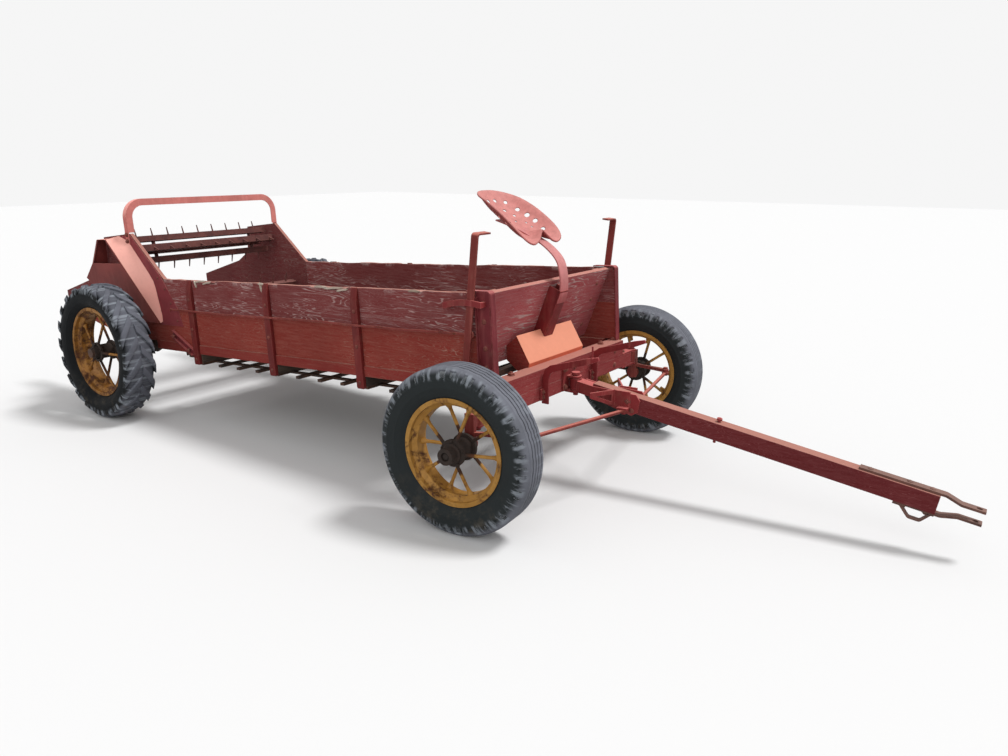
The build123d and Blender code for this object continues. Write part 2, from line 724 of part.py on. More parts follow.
coverRoof = slab([(coverHead[0], roofOut, coverHead[1]), (roofBack[0], roofOut, coverHead[1]),
                  (rearBack[0] + 6, coverIn, coverHead[1]), (coverHead[0], coverIn, coverHead[1])],
                  (0, 0, sheetThick))
coverBack = skin([cover_point(*roofBack), cover_point(windowBack[0], windowBottom),
                  cover_point(*coverKnee)],
                 [(rearBack[0], coverIn, coverHead[1]), (rearWaist[0] + 4, coverIn, backWaist),
                  (rearKnee[0] + 6, coverIn, backKnee)],
                 (sheetThick, 0, 0))
archNotch = block((archX - archFace / 2 - notchRoom, archX + archFace / 2 + notchRoom),
                  (-boxHalf - archWall - notchRoom, -boxHalf), (archFoot - notchRoom - 1, archTop))
coverBead = rod(cover_edge(coverHead[1]), cover_edge(coverFoot[1]), sheetThick)
cover = coverSlope.fuse(coverBead, coverSide, windowStrip, coverRoof, coverBack) - archNotch
sheet -= archNotch
for x, z in (upperBeater, lowerBeater):
    sheet -= cross_pin(x, z, (sheetY - 5, -boxHalf + 1), beaterBearing + 15)

# A channel that braces the sill from the side, and the same on the left
braceRun = [(329.0, 519.0), (541.0, 404.0)]
braceWide = 46.0
braceDeep = 18.0
braceTurn = math.degrees(math.atan2(braceRun[0][1] - braceRun[1][1], braceRun[1][0] - braceRun[0][0]))
braceLength = math.hypot(braceRun[1][0] - braceRun[0][0], braceRun[1][1] - braceRun[0][1])
brace = block((0, braceLength), (-stakeWall, 0), (-braceWide / 2, braceWide / 2))
for edge in (-braceWide / 2, braceWide / 2 - stakeWall):
    brace += block((0, braceLength), (-braceDeep, 0), (edge, edge + stakeWall))
brace = Pos(braceRun[0][0], -boxHalf, braceRun[0][1]) * Rot(0, braceTurn, 0) * brace

# Endgate: planks that lean forward, held by a seat support and cleats
gateRun = Vector(endgateTop[0] - endgateBottom[0], 0, endgateTop[1] - endgateBottom[1])
gateLength = gateRun.length
gateLean = math.degrees(math.atan2(gateRun.X, gateRun.Z))
GATE = Pos(endgateBottom[0], 0, endgateBottom[1]) * Rot(0, gateLean, 0)
gateHalf = boxHalf - plank
gateSplit = 172.0
gate = GATE * block((-endgateThick, 0), (-gateHalf, gateHalf), (0, gateSplit - 1))
gateUpper = GATE * block((-endgateThick, 0), (-gateHalf, gateHalf), (gateSplit + 1, gateLength))
endgate = Compound(children=[gate, gateUpper])
cleats = Compound(children=[
    GATE * block((-endgateThick - 20, -endgateThick), (y - cleatWide / 2, y + cleatWide / 2),
                 (8, gateLength - 10))
    for y in (-gateHalf + 90, gateHalf - 90)])
supportLow = (supportBottom - endgateBottom[1]) / math.cos(math.radians(gateLean))
supportHigh = (supportTop - endgateBottom[1]) / math.cos(math.radians(gateLean))
support = GATE * (block((0, supportWall), (-supportWide / 2, supportWide / 2), (supportLow, supportHigh))
                  + block((0, supportDeep), (supportWide / 2 - supportWall, supportWide / 2),
                          (supportLow, supportHigh))
                  + block((supportDeep - supportWall, supportDeep), (-supportWide / 2, supportWide / 2),
                          (supportLow, supportHigh)))


def on_gate(out, up):
    """A point in x and z from its distance in front of the endgate and its distance up the slope."""
    lean = math.radians(gateLean)
    return (endgateBottom[0] + out * math.cos(lean) + up * math.sin(lean),
            endgateBottom[1] - out * math.sin(lean) + up * math.cos(lean))


# Seat: a spring bolted to the support carries a dished pan with two front lobes
springFoot = on_gate(supportDeep + springThick / 2, supportLow + 120)
springKnee = on_gate(supportDeep + springThick / 2, supportLow + 200)
tiltRad = math.radians(seatTilt)


def on_seat(along, down):
    """A point in x and z from its distance along the seat's tilt and its distance under the rim."""
    return (seatCentre[0] + along * math.cos(tiltRad) - down * math.sin(tiltRad),
            seatCentre[1] - along * math.sin(tiltRad) - down * math.cos(tiltRad))


springBend = [(wheelbase + 36, 850.0), (wheelbase + 50, 975.0)]
springUnder = seatDish + springThick / 2
springEnds = [on_seat(190, springUnder), on_seat(-40, springUnder)]
springPath = [springFoot, springKnee, *springBend, *springEnds]
spring = bent_bar([(x, 0, z) for x, z in springPath], [60, 60, 90, 80], springWide, springThick, (0, 1, 0))
shell = Sphere(seatRadius) - Sphere(seatRadius - seatWall)
edgePoints = seatEdge + [(x, -y) for x, y in reversed(seatEdge[:-1])]
outline = make_face(Spline(*edgePoints))
panBody = shell & extrude(outline, amount=-seatRadius - 10)
holes = [Pos(x, side * y, -seatRadius / 1.2) * Cylinder(radius, seatRadius) for x, y, radius in seatHoles
         for side in (-1, 1)]
panBody = panBody.cut(*holes)
pan = Pos(seatCentre[0], 0, seatCentre[1]) * Rot(0, seatTilt, 0) * Pos(0, 0,
                                                                       seatRadius - seatDish) * panBody

# Hand levers outside the box, the curved guides that hold them, and their rods to the rear
leverLean = 9.1
leverFoot = (wheelbase - 146, 470.0)
leverLength = 672.0
leverWide = 38.0
leverThick = 8.0
leverY = -boxHalf - 34
handle = 90.0
LEVER = Pos(leverFoot[0], 0, leverFoot[1]) * Rot(0, leverLean, 0)
lever = LEVER * bent_bar([(0, leverY, -30), (0, leverY, leverLength), (0, leverY + handle, leverLength)],
                         [14],
                         leverWide, leverThick, (1, 0, 0))
leverPin = cross_pin(leverFoot[0], leverFoot[1], (leverY - 12, -boxHalf), 10)
lever = lever + leverPin
guideStart = (boxFront - cornerWide - 170, sideTop - 44)
guideWide = 28.0
guideThick = 6.0
guideFoot = 24.0
guideEnd = boxFront - 20
guideRise = 8.0
guideOut = leverY - leverThick / 2 - guideThick - 1
startX, startZ = guideStart
endZ = startZ + guideRise
upperArc = ThreePointArc((startX, 0, startZ), (startX + 90, 0, startZ + 16), (guideEnd, 0, endZ))
lowerArc = ThreePointArc((guideEnd, 0, endZ - guideWide), (startX + 90, 0, startZ + 16 - guideWide),
                         (startX, 0, startZ - guideWide))
guideFace = make_face([upperArc, Line((guideEnd, 0, endZ), (guideEnd, 0, endZ - guideWide)), lowerArc,
                       Line((startX, 0, startZ - guideWide), (startX, 0, startZ))])
guide = Pos(0, guideOut, 0) * extrude(guideFace, amount=guideThick, dir=(0, 1, 0))
guide += block((startX, startX + guideFoot), (guideOut, -boxHalf), (startZ - 26, startZ - 2))
guide += block((guideEnd - guideFoot, guideEnd), (guideOut, -boxHalf - stakeWall), (endZ - 26, endZ - 2))
rodZ = 676.0
rodFront = leverFoot[0] + (rodZ - leverFoot[1]) * math.tan(math.radians(leverLean))
controlRod = block((410, rodFront + 10), (leverY + leverThick / 2, leverY + leverThick / 2 + 6),
                   (rodZ - 10, rodZ + 10))

# Foot box: a folded sheet on two sloping rails in front of the endgate
footTop = (wheelbase - 124, 772.0)
footBottom = (wheelbase - 42, 640.0)
footHalf = 222.0
footLean = math.atan2(footBottom[0] - footTop[0], footTop[1] - footBottom[1])
footLength = math.hypot(footBottom[0] - footTop[0], footTop[1] - footBottom[1])
FOOT = Pos(footTop[0], 0, footTop[1]) * Rot(0, math.degrees(-footLean) + 180, 0)
footSheet = FOOT * block((-3, 0), (-footHalf, footHalf), (0, footLength))
footLip = FOOT * block((0, 32), (-footHalf, footHalf), (footLength - 3, footLength))
supportNotch = TILT * GATE * block((-1, supportDeep + 4), (-supportWide / 2 - 4, supportWide / 2 + 4),
                                   (0, gateLength))
footBox = (footSheet + footLip) - supportNotch


def tilted_point(x, z):
    """Where a point of the level box comes to after the tilt."""
    lean = math.radians(boxPitch)
    return (x * math.cos(lean) - (z - rearTyreRadius) * math.sin(lean),
            rearTyreRadius + x * math.sin(lean) + (z - rearTyreRadius) * math.cos(lean))


railGap = 4.5                   # from the sheet's front face to the rails behind it
railTop = (footTop[0] - railGap * math.cos(footLean), footTop[1] - railGap * math.sin(footLean))
railBottom = (footBottom[0] - railGap * math.cos(footLean), footBottom[1] - railGap * math.sin(footLean))
railOutline = [tilted_point(*on_gate(faceGap, 200)), railTop, railBottom,
               (railBottom[0], bolsterTop + faceGap),
               (bolsterRear - 1, bolsterTop + faceGap), (wheelbase - 84, 580),
               tilted_point(*on_gate(faceGap, 135))]
lipRoom = FOOT * block((-30, 33), (-footHalf - 1, footHalf + 1), (footLength - 4, footLength + 200))
footRails = Compound(children=[side_plate(railOutline, (y - 14, y + 14)) - lipRoom
                               for y in (-footHalf + 20, footHalf - 20)])

# Bars that carried a footboard, bent on edge, with a bolt left in the right one
footBarY = 240.0
barTall = 44.0
barX = bolsterFront + barTall / 2 + 1
barTop = bolsterTop + 54
barReach = 310.0
barRise = 66.0
footBars = Compound(children=[
    bent_bar([(barX, y, axleBottom - 6), (barX, y, barTop), (barX + barReach, y, barTop + barRise)], [56],
             barTall, 9.0, (1, 0, 0))
    + block((bolsterFront, bolsterFront + 8), (y - 26, y + 26), (axleBottom, axleBottom + 60))
    for y in (-footBarY, footBarY)])

# Bracket on the bolster for the tongue's pivot pin
pivotHalf = 30.0
pivotParts = block((bolsterFront, bolsterFront + 10), (-60, 60), (axleBottom + 4, bolsterTop - 20))
for low in (tongueZ - 44, tongueZ + 34):
    pivotParts += block((bolsterFront, tonguePivotX), (-pivotHalf, pivotHalf), (low, low + 10))
    pivotParts += Pos(tonguePivotX, 0, low + 5) * Cylinder(pivotHalf, 10)
pivotPin = 13.0
pivotParts += Pos(tonguePivotX, 0, tongueZ) * Cylinder(pivotPin, 120)
pivotParts += Pos(tonguePivotX, 0, tongueZ + 56) * Cylinder(22, 12)
pivotBracket = pivotParts

# Tongue, drawn straight ahead and level about its pivot
DROOP = Pos(tonguePivotX, 0, tongueZ) * Rot(0, 0, tongueTurn) * Rot(0, tongueDroop, 0)
SWING = Pos(tonguePivotX, 0, tongueZ) * Rot(0, 0, tongueTurn)
tongueWood = DROOP * block((tongueWoodStart, tongueWoodEnd), (-tongueWide / 2, tongueWide / 2),
                           (-tongueTall / 2, tongueTall / 2))
eyeStart = 18.0
strapStart = 38.0
rootIrons = SWING * Cylinder(30, 60)
rootIrons += DROOP * block((eyeStart, tongueWoodStart), (-tongueWide / 2, tongueWide / 2), (-26, 26))
strapOutline = [(strapStart, -tongueStrapRoot / 2), (110, -tongueStrapRoot / 2),
                (tongueStrapEnd - 30, -tongueStrapFlare / 2),
                (tongueStrapEnd, -tongueStrapFlare / 2 + 26), (tongueStrapEnd, tongueStrapFlare / 2 - 26),
                (tongueStrapEnd - 26, tongueStrapFlare / 2), (110, tongueStrapRoot / 2),
                (strapStart, tongueStrapRoot / 2)]
strapIn = tongueWide / 2
strapOut = strapIn + tongueStrapThick
for y in ((-strapOut, -strapIn), (strapIn, strapOut)):
    rootIrons += DROOP * side_plate(strapOutline, y)
rootIrons -= SWING * Cylinder(pivotPin + pinGap, 200)

# Ears beside the straps carry the inner pins of the tie rods
earThick = 10.0


wingBend = (236.0, 45.0)        # where the wing leaves the ear, forward and to the side
wingEnd = (160.0, 168.0)
wingTop = 14.0
wingDrop = 76.0
wingTip = 28.0


def ear_wing(side):
    """A three-cornered frame that stands out from the ear, backwards and to the side."""
    run = Vector(wingEnd[0] - wingBend[0], side * (wingEnd[1] - wingBend[1]), 0)
    def corner(share, z):
        return (wingBend[0] + run.X * share, side * wingBend[1] + run.Y * share, z)
    out = run.normalized().cross(Vector(0, 0, side)) * 7
    frame = slab([corner(0, wingTop), corner(1, wingTop), corner(1, wingTop - wingTip),
                  corner(0.16, wingTop - wingDrop),
                  corner(0, wingTop - wingDrop)], tuple(out))
    window = slab([corner(0.12, wingTop - 22), corner(0.76, wingTop - 22),
                   corner(0.12, wingTop - wingDrop + 16)], tuple(out))
    return frame - window


def tie_ear(side):
    y = sorted((side * strapOut, side * (tiePinY + 14)))
    ear = block((tiePinX - 34, tiePinX + 22), y, (armBottom - tongueZ, armBottom - tongueZ + earThick))
    y = sorted((side * strapOut, side * (strapOut + 8)))
    ear += block((tiePinX - 70, tiePinX + 22), y, (armBottom - tongueZ, 12))
    pin = Pos(tiePinX, side * tiePinY, armBottom - tongueZ - 6) * Cylinder(tiePinRadius, 32)
    nut = Pos(tiePinX, side * tiePinY, armBottom - tongueZ - tieEyeThick - 2 * faceGap - boltHigh / 2)
    nut = nut * Cylinder(boltAcross / 2, boltHigh)
    return SWING * (ear + pin + nut + ear_wing(side))


rootIrons = rootIrons + tie_ear(-1) + tie_ear(1)

# Clevis irons at the tongue's end and the loop under it
ironOut = tongueTall / 2 + clevisThick / 2
tipOut = clevisGap / 2 + clevisThick / 2
clevisTip = hitchReach + 26
clevisHoleCut = Pos(hitchReach, 0, 0) * Cylinder(clevisHole, 300)


def clevis_iron(start, sign):
    path = [(start, 0, sign * ironOut), (tongueWoodEnd + 20, 0, sign * ironOut),
            (tongueWoodEnd + 82, 0, sign * tipOut), (clevisTip, 0, sign * tipOut)]
    iron = bent_bar(path, [30, 30], clevisWide, clevisThick, (0, 1, 0))
    return DROOP * (iron - clevisHoleCut)


upperIron = clevis_iron(tongueWoodEnd - 328, 1)
loopTop = -tongueTall / 2 - clevisThick - 4
loopSteps = ((165, 0), (135, 0), (91, 44), (45, 44), (13, 0), (0, 0))
loopPath = [(tongueWoodEnd - back, 0, loopTop - down) for back, down in loopSteps]
lowerIron = clevis_iron(tongueWoodEnd - 165, -1) + DROOP * bent_bar(loopPath, [10, 16, 16, 8], 26.0, 8.0,
                                                                    (0, 1, 0))
hitchIrons = Compound(children=[upperIron, lowerIron])
boltX = 760.0
boltRadius = 7.0
tongueWood -= DROOP * Pos(boltX, 0, 0) * Cylinder(boltRadius, 200)
tongueBolt = DROOP * (Pos(boltX, 0, 0) * Cylinder(boltRadius, tongueTall + 44)
                      + Pos(boltX, 0, tongueTall / 2 + 14) * Cylinder(13, 10))

# Driven sprockets: the upper reel's under the cover on the right, the lower reel's on the left
upperSprocket = sprocket(*upperBeater, -sprocketOut, drivenSprocket["upper"], 8, sprocketWide)
lowerSprocket = sprocket(*lowerBeater, sprocketOut, drivenSprocket["lower"], 12, sprocketWide)

# Every piece by name
pieces = {}
for name, shape in {"side_plank_upper": upperPlank, "side_plank_lower": lowerPlank,
                    "rear_panel": rearPanel}.items():
    pieces[name + "_right"] = TILT * shape
    pieces[name + "_left"] = TILT * mirrored(shape)
for name, shape in {
    "sills": both(sill), "stakes": both(stakes), "corner_posts": both(cornerPost), "levers": both(lever),
    "lever_guides": both(guide), "control_rods": both(controlRod), "beater_bearings": both(bearings),
    "cross_sills": crossSills, "floor_boards": floorPlanks, "apron": apron,
    "apron_shafts": Compound(children=[apron_shaft(rearShaftX), apron_shaft(frontShaftX)]),
    "apron_hangers": hangers,
    "arch": arch, "drive_side_sheet": sheet, "chain_cover": cover, "endgate": endgate,
    "endgate_cleats": cleats,
    "seat_support": support, "seat_spring": spring, "seat_pan": pan,
    "upper_beater": beater(*upperBeater, upperReel, "chain", "plain") + upperSprocket,
    "lower_beater": beater(*lowerBeater, lowerReel, "plain", "chain") + lowerSprocket,
    "side_braces": both(brace),
}.items():
    pieces[name] = TILT * shape
pieces["axle_plates"] = both(axlePlate)
pieces["rear_axle"] = rearAxle
pieces["rear_tyre_right"] = rearPlace * rearTyre
pieces["rear_wheel_right"] = rearPlace * rearWheel
pieces["rear_tyre_left"] = mirrored(rearPlace * rearTyre)
pieces["rear_wheel_left"] = mirrored(rearPlace * rearWheel)
frontPlace = Pos(0, -wheelOffset, frontTyreRadius)
rightKnuckle = knuckle()
for side, word in ((-1, "right"), (1, "left")):
    for name, shape in (("front_tyre", frontPlace * frontTyre), ("front_wheel", frontPlace * frontWheel),
                        ("knuckle", rightKnuckle)):
        pieces[f"{name}_{word}"] = steered(side) * (shape if side < 0 else mirrored(shape))
    pieces[f"tie_rod_{word}"] = tie_rod(side)
pieces["front_axle"] = axleBeam
pieces["axle_irons"] = Compound(children=rightIrons + leftIrons)
pieces["bolster"] = bolster
pieces["foot_box"] = footBox
pieces["foot_rails"] = footRails
pieces["foot_bars"] = footBars
pieces["tongue_bracket"] = pivotBracket
pieces["tongue_root"] = rootIrons
pieces["tongue_wood"] = tongueWood
pieces["hitch_irons"] = hitchIrons
pieces["tongue_bolt"] = tongueBolt

# Shifted so that the origin is under the middle of the whole machine
limits = [shape.bounding_box() for shape in pieces.values()]
middle = (min(box.min.X for box in limits) + max(box.max.X for box in limits)) / 2
print("shift along X", -middle)
for name, shape in pieces.items():
    export_step(Pos(-middle, 0, 0) * shape, f"parts/{name}.step")
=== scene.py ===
import bpy
import bmesh
import json
import math
from mathutils import Matrix, Vector
from mathutils.geometry import interpolate_bezier


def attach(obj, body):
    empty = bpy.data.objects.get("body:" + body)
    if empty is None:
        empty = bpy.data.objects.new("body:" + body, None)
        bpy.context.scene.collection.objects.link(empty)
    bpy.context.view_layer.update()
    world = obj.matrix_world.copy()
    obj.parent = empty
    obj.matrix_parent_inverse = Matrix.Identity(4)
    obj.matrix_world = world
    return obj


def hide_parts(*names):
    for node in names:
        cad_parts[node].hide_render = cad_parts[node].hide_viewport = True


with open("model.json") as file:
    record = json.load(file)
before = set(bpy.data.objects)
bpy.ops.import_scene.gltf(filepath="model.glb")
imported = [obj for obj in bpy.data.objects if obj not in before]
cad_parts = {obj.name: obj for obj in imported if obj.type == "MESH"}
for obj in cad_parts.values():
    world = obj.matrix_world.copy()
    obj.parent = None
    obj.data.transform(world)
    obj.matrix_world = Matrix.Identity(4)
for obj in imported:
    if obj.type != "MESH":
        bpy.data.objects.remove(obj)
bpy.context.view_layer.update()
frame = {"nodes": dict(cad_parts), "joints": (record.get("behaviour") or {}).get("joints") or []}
nodes = frame["nodes"]
bpy.ops.object.select_all(action="DESELECT")

# Where the box, the tongue and the wheels stand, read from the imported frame
joints = {joint["name"]: joint for joint in frame["joints"]}
hubs = {f"{end}_{side}": Vector(joints[f"{end}_wheel_spin_{side}"]["pos_m"])
        for end in ("rear", "front") for side in ("right", "left")}
rearAxle = (hubs["rear_right"] + hubs["rear_left"]) / 2
boxPitch = math.radians(3.3)
steerRatio = 1.4
wheelTurn = math.radians(6.5)
tongueTurn = wheelTurn / steerRatio
tongueDroop = math.radians(9.2)
boxPlace = (Matrix.Translation(rearAxle) @ Matrix.Rotation(-boxPitch, 4, "Y")
            @ Matrix.Translation((0, 0, -rearAxle.z)))
tonguePlace = (Matrix.Translation(joints["tongue_steer"]["pos_m"]) @ Matrix.Rotation(tongueTurn, 4, "Z")
               @ Matrix.Rotation(tongueDroop, 4, "Y"))
unmoved = Matrix.Identity(4)
halfTurn = Matrix.Rotation(math.pi, 4, "Z")
acrossBox = Matrix.Scale(-1, 4, (0, 1, 0))      # mirrors a piece to the other side
wheelPlace = {}
for corner, hub in hubs.items():
    swing = Matrix.Rotation(wheelTurn, 4, "Z") if corner.startswith("front") else unmoved
    facing = halfTurn if corner.endswith("left") else unmoved
    wheelPlace[corner] = Matrix.Translation(hub) @ swing @ facing

ironBead = 0.0012       # the worn edge of flat iron, bolts and nuts


# Edit-mode helpers: everything is deselected first, then picked by its place
def takeUp(*pieces):
    bpy.ops.object.select_all(action="DESELECT")
    for piece in pieces:
        piece.select_set(True)
    bpy.context.view_layer.objects.active = pieces[0]


def startEdit(piece, kind="FACE"):
    takeUp(piece)
    bpy.ops.object.mode_set(mode="EDIT")
    bpy.ops.mesh.select_mode(type=kind)
    bpy.ops.mesh.select_all(action="DESELECT")


def endEdit():
    bpy.ops.object.mode_set(mode="OBJECT")


def pickAll():
    bpy.ops.mesh.select_all(action="SELECT")


def pickParts(piece, kind, test):
    bpy.ops.mesh.select_all(action="DESELECT")
    mesh = bmesh.from_edit_mesh(piece.data)
    for part in getattr(mesh, kind):
        if test(part):
            part.select_set(True)
    if kind == "verts":
        mesh.select_flush(True)
    bmesh.update_edit_mesh(piece.data)


def pickFaces(piece, test):
    pickParts(piece, "faces", lambda face: test(face.calc_center_median(), face.normal))


def pickVerts(piece, test):
    pickParts(piece, "verts", lambda vert: test(vert.co))


def pickEdges(piece, test):
    pickParts(piece, "edges", lambda edge: test(edge.verts[0].co, edge.verts[1].co))


def cutAlong(piece, cuts, length=1):
    pickEdges(piece, lambda first, second: abs(first.x - second.x) > length)
    bpy.ops.mesh.subdivide(number_cuts=cuts)


def shift(x, y, z):
    bpy.ops.transform.translate(value=(x, y, z))


def extrude(x, y, z):
    bpy.ops.mesh.extrude_region_move(TRANSFORM_OT_translate={"value": (x, y, z)})


def cleanMesh(piece):
    startEdit(piece, "VERT")
    pickAll()
    bpy.ops.mesh.remove_doubles(threshold=0.00005)
    bpy.ops.mesh.normals_make_consistent(inside=False)
    endEdit()


def addModifier(piece, kind, **settings):
    takeUp(piece)
    modifier = piece.modifiers.new(kind.lower(), kind)
    for name, value in settings.items():
        setattr(modifier, name, value)
    bpy.ops.object.modifier_apply(modifier=modifier.name)


def roundEdges(piece, width, segments=2, angle=40):
    addModifier(piece, "BEVEL", width=width, segments=segments, limit_method="ANGLE",
                angle_limit=math.radians(angle))


def settle(piece):
    takeUp(piece)
    piece.matrix_world = piece.matrix_basis     # rounds the turn; the tyres' cuts fall by it
    bpy.ops.object.transform_apply(location=True, rotation=True, scale=True)


def copyOf(piece, matrix):
    twin = piece.copy()
    twin.data = piece.data.copy()
    bpy.context.scene.collection.objects.link(twin)
    twin.data.transform(matrix)
    if matrix.determinant() < 0:
        twin.data.flip_normals()
    return twin


def joinPieces(parts, name):
    takeUp(*parts)
    if len(parts) > 1:
        bpy.ops.object.join()
    parts[0].name = name
    parts[0].data.name = name
    return parts[0]


def dropPiece(piece):
    bpy.data.objects.remove(piece, do_unlink=True)


def smooth(piece, angle=35):
    takeUp(piece)
    bpy.ops.object.shade_smooth_by_angle(angle=math.radians(angle))


def addBox(name, x, y, z):
    bpy.ops.mesh.primitive_cube_add(size=1, location=[sum(ends) / 2 for ends in (x, y, z)])
    piece = bpy.context.object
    piece.name = name
    piece.scale = (x[1] - x[0], y[1] - y[0], z[1] - z[0])
    settle(piece)
    return piece


def drawOut(name, profile, steps):
    # A circle is drawn out ring by ring along the axle; the profile holds radius and place
    bpy.ops.mesh.primitive_circle_add(vertices=steps, radius=profile[0][0], location=(0, 0, profile[0][1]))
    piece = bpy.context.object
    piece.name = name
    settle(piece)
    startEdit(piece, "EDGE")
    pickAll()
    for (radius, along), (nextRadius, nextAlong) in zip(profile, profile[1:]):
        bpy.ops.mesh.extrude_edges_move(TRANSFORM_OT_translate={"value": (0, 0, nextAlong - along)})
        grow = nextRadius / radius
        bpy.ops.transform.resize(value=(grow, grow, 1), center_override=(0, 0, 0))
    endEdit()
    cleanMesh(piece)
    piece.rotation_euler = (math.pi / 2, 0, 0)
    settle(piece)
    return piece


def finishPiece(piece, material, body, slot, *standsFor, angle=35):
    smooth(piece, angle)
    piece.data.materials.clear()
    piece.data.materials.append(material)
    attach(piece, body)
    if standsFor:
        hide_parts(*standsFor)


# Node helpers: they add to the node tree that was started last
current = {}


def startTree(owner):
    owner.use_nodes = True
    owner.node_tree.nodes.clear()
    current["tree"] = owner.node_tree
    return owner


def addNode(kind, values=None, **settings):
    tree = current["tree"]
    made = tree.nodes.new(kind)
    for name, value in settings.items():
        setattr(made, name, value)
    for socket, value in (values or {}).items():
        if isinstance(value, bpy.types.NodeSocket):
            tree.links.new(value, made.inputs[socket])
        else:
            made.inputs[socket].default_value = value
    return made


def coordinates(scale=(1, 1, 1), tilt=0.0, turn=0.0):
    source = addNode("ShaderNodeTexCoord")
    return addNode("ShaderNodeMapping",
                   {"Vector": source.outputs["Object"], "Rotation": (0, tilt, turn),
                    "Scale": scale}).outputs[0]


def partOf(where, axis=2):
    return addNode("ShaderNodeSeparateXYZ", {0: where}).outputs[axis]


def distanceTo(where, point):
    return addNode("ShaderNodeVectorMath", {0: where, 1: point}, operation="DISTANCE").outputs["Value"]


def noise(where, size, detail=4.0, rough=0.55, warp=0.0):
    return addNode("ShaderNodeTexNoise",
                   {"Vector": where, "Scale": size, "Detail": detail, "Roughness": rough,
                    "Distortion": warp}).outputs["Fac"]


def ramp(value, low, high, start=0.0, end=1.0):
    return addNode("ShaderNodeMapRange", {0: value, 1: low, 2: high, 3: start, 4: end},
                   interpolation_type="SMOOTHSTEP").outputs[0]


def opaque(colour):
    return colour if isinstance(colour, bpy.types.NodeSocket) else (*colour, 1)


def mixColour(amount, first, second):
    return addNode("ShaderNodeMix", {0: amount, 6: opaque(first), 7: opaque(second)},
                   data_type="RGBA").outputs[2]


def combine(operation, first, second, clamped=True):
    return addNode("ShaderNodeMath", {0: first, 1: second}, operation=operation,
                   use_clamp=clamped).outputs[0]


def times(first, second):
    return combine("MULTIPLY", first, second)


def larger(first, second):
    return combine("MAXIMUM", first, second)


def zigzag(value, count):
    # A pattern folded back and forth, which draws the rings of the grain
    return combine("PINGPONG", combine("MULTIPLY", value, count, False), 0.5, False)


def bump(height, depth, strength, normal):
    return addNode("ShaderNodeBump",
                   {"Height": height, "Distance": depth, "Strength": strength, "Normal": normal}).outputs[0]


def roundedNormal(radius):
    return addNode("ShaderNodeBevel", {"Radius": radius}, samples=4).outputs[0]


def edgeMask(radius):
    rounded = roundedNormal(radius)
    plain = addNode("ShaderNodeNewGeometry").outputs["Normal"]
    same = addNode("ShaderNodeVectorMath", {0: rounded, 1: plain}, operation="DOT_PRODUCT").outputs["Value"]
    return ramp(same, 0.995, 0.9)


def upwards(low=0.25, high=0.85):
    normal = addNode("ShaderNodeTexCoord").outputs["Normal"]
    return ramp(partOf(normal), low, high)


def linear(*shade):
    return tuple((c / 255 / 12.92) if c / 255 < 0.04045 else ((c / 255 + 0.055) / 1.055) ** 2.4
                 for c in shade)


def scaled(colour, factor):
    return tuple(c * factor for c in colour)


def finished(colour, rough, normal, specular=0.35):
    shader = addNode("ShaderNodeBsdfPrincipled",
                     {"Base Color": colour, "Roughness": rough, "Normal": normal,
                      "Specular IOR Level": specular})
    addNode("ShaderNodeOutputMaterial", {0: shader.outputs[0]})


# Old paint on iron: dark on the sides and chalky where it faces the sky, which is partly sun-faded paint and
# partly painted sunlight on faces turned up; rust in spots and at the edges
def paintedIron(name, paint, chalkAndSunlit, rust=linear(104, 62, 44), rustShare=0.4, lowFadeAndSun=0.25, highFadeAndSun=0.85,
                patchy=1.0, greasy=None):
    material = startTree(bpy.data.materials.new(name))
    where = coordinates()
    clouds = noise(where, 5.0, 5.0)
    fine = noise(where, 60.0, 6.0, 0.72)
    speck = noise(where, 34.0, 6.0, 0.7)
    patch = noise(where, 3.2, 6.0, 0.65, 0.4)
    streak = noise(coordinates((26, 26, 2.5)), 1.0, 5.0, 0.65)
    colour = mixColour(ramp(clouds, 0.35, 0.68), scaled(paint, 0.86), scaled(paint, 1.2))
    colour = mixColour(ramp(streak, 0.5, 0.78, 0.0, 0.35 * patchy), colour, chalkAndSunlit)
    # Painted sunlight mixed with sun-fade: faces turned up get the lighter chalk colour, reaching further
    # round the sides the lower the two bounds are set
    fadeAndPaintedSun = times(upwards(lowFadeAndSun, highFadeAndSun), ramp(clouds, 0.2, 0.6, 1 - 0.25 * patchy, 1.0))
    dustyAndSunlit, bleachedAndSunlit = scaled(chalkAndSunlit, 1 - 0.14 * patchy), scaled(chalkAndSunlit, 1 + 0.1 * patchy)
    colour = mixColour(fadeAndPaintedSun, colour, mixColour(ramp(speck, 0.3, 0.7), dustyAndSunlit, bleachedAndSunlit))
    edge = edgeMask(0.0035)
    colour = mixColour(times(edge, ramp(fine, 0.3, 0.55, 0.1, 0.75)), colour, scaled(chalkAndSunlit, 0.9))
    spots = times(ramp(speck, 0.54, 0.66), ramp(patch, 0.64 - rustShare * 0.3, 0.8 - rustShare * 0.2))
    worn = times(edge, ramp(noise(where, 16.0, 5.0), 0.56 - rustShare * 0.1, 0.66))
    bare = larger(spots, worn)
    rusty = mixColour(ramp(fine, 0.35, 0.68), rust, scaled(rust, 0.4))
    colour = mixColour(bare, colour, rusty)
    dust = ramp(noise(where, 13.0, 6.0, 0.7), 0.48, 0.8, 0.0, 0.14 * patchy)
    colour = mixColour(dust, colour, linear(150, 132, 112))
    if greasy is not None:
        colour = mixColour(ramp(distanceTo(where, greasy), 0.075, 0.05), colour, linear(46, 38, 34))
    rough = ramp(bare, 0.0, 1.0, 0.6, 0.92)
    skin = bump(noise(where, 170.0, 3.0), 0.0005, 0.25, roundedNormal(0.0022))
    skin = bump(bare, 0.0008, 0.7, skin)
    skin = bump(noise(where, 6.0, 2.0), 0.007, 0.14, skin)
    finished(colour, rough, skin, specular=0.2)
    return material


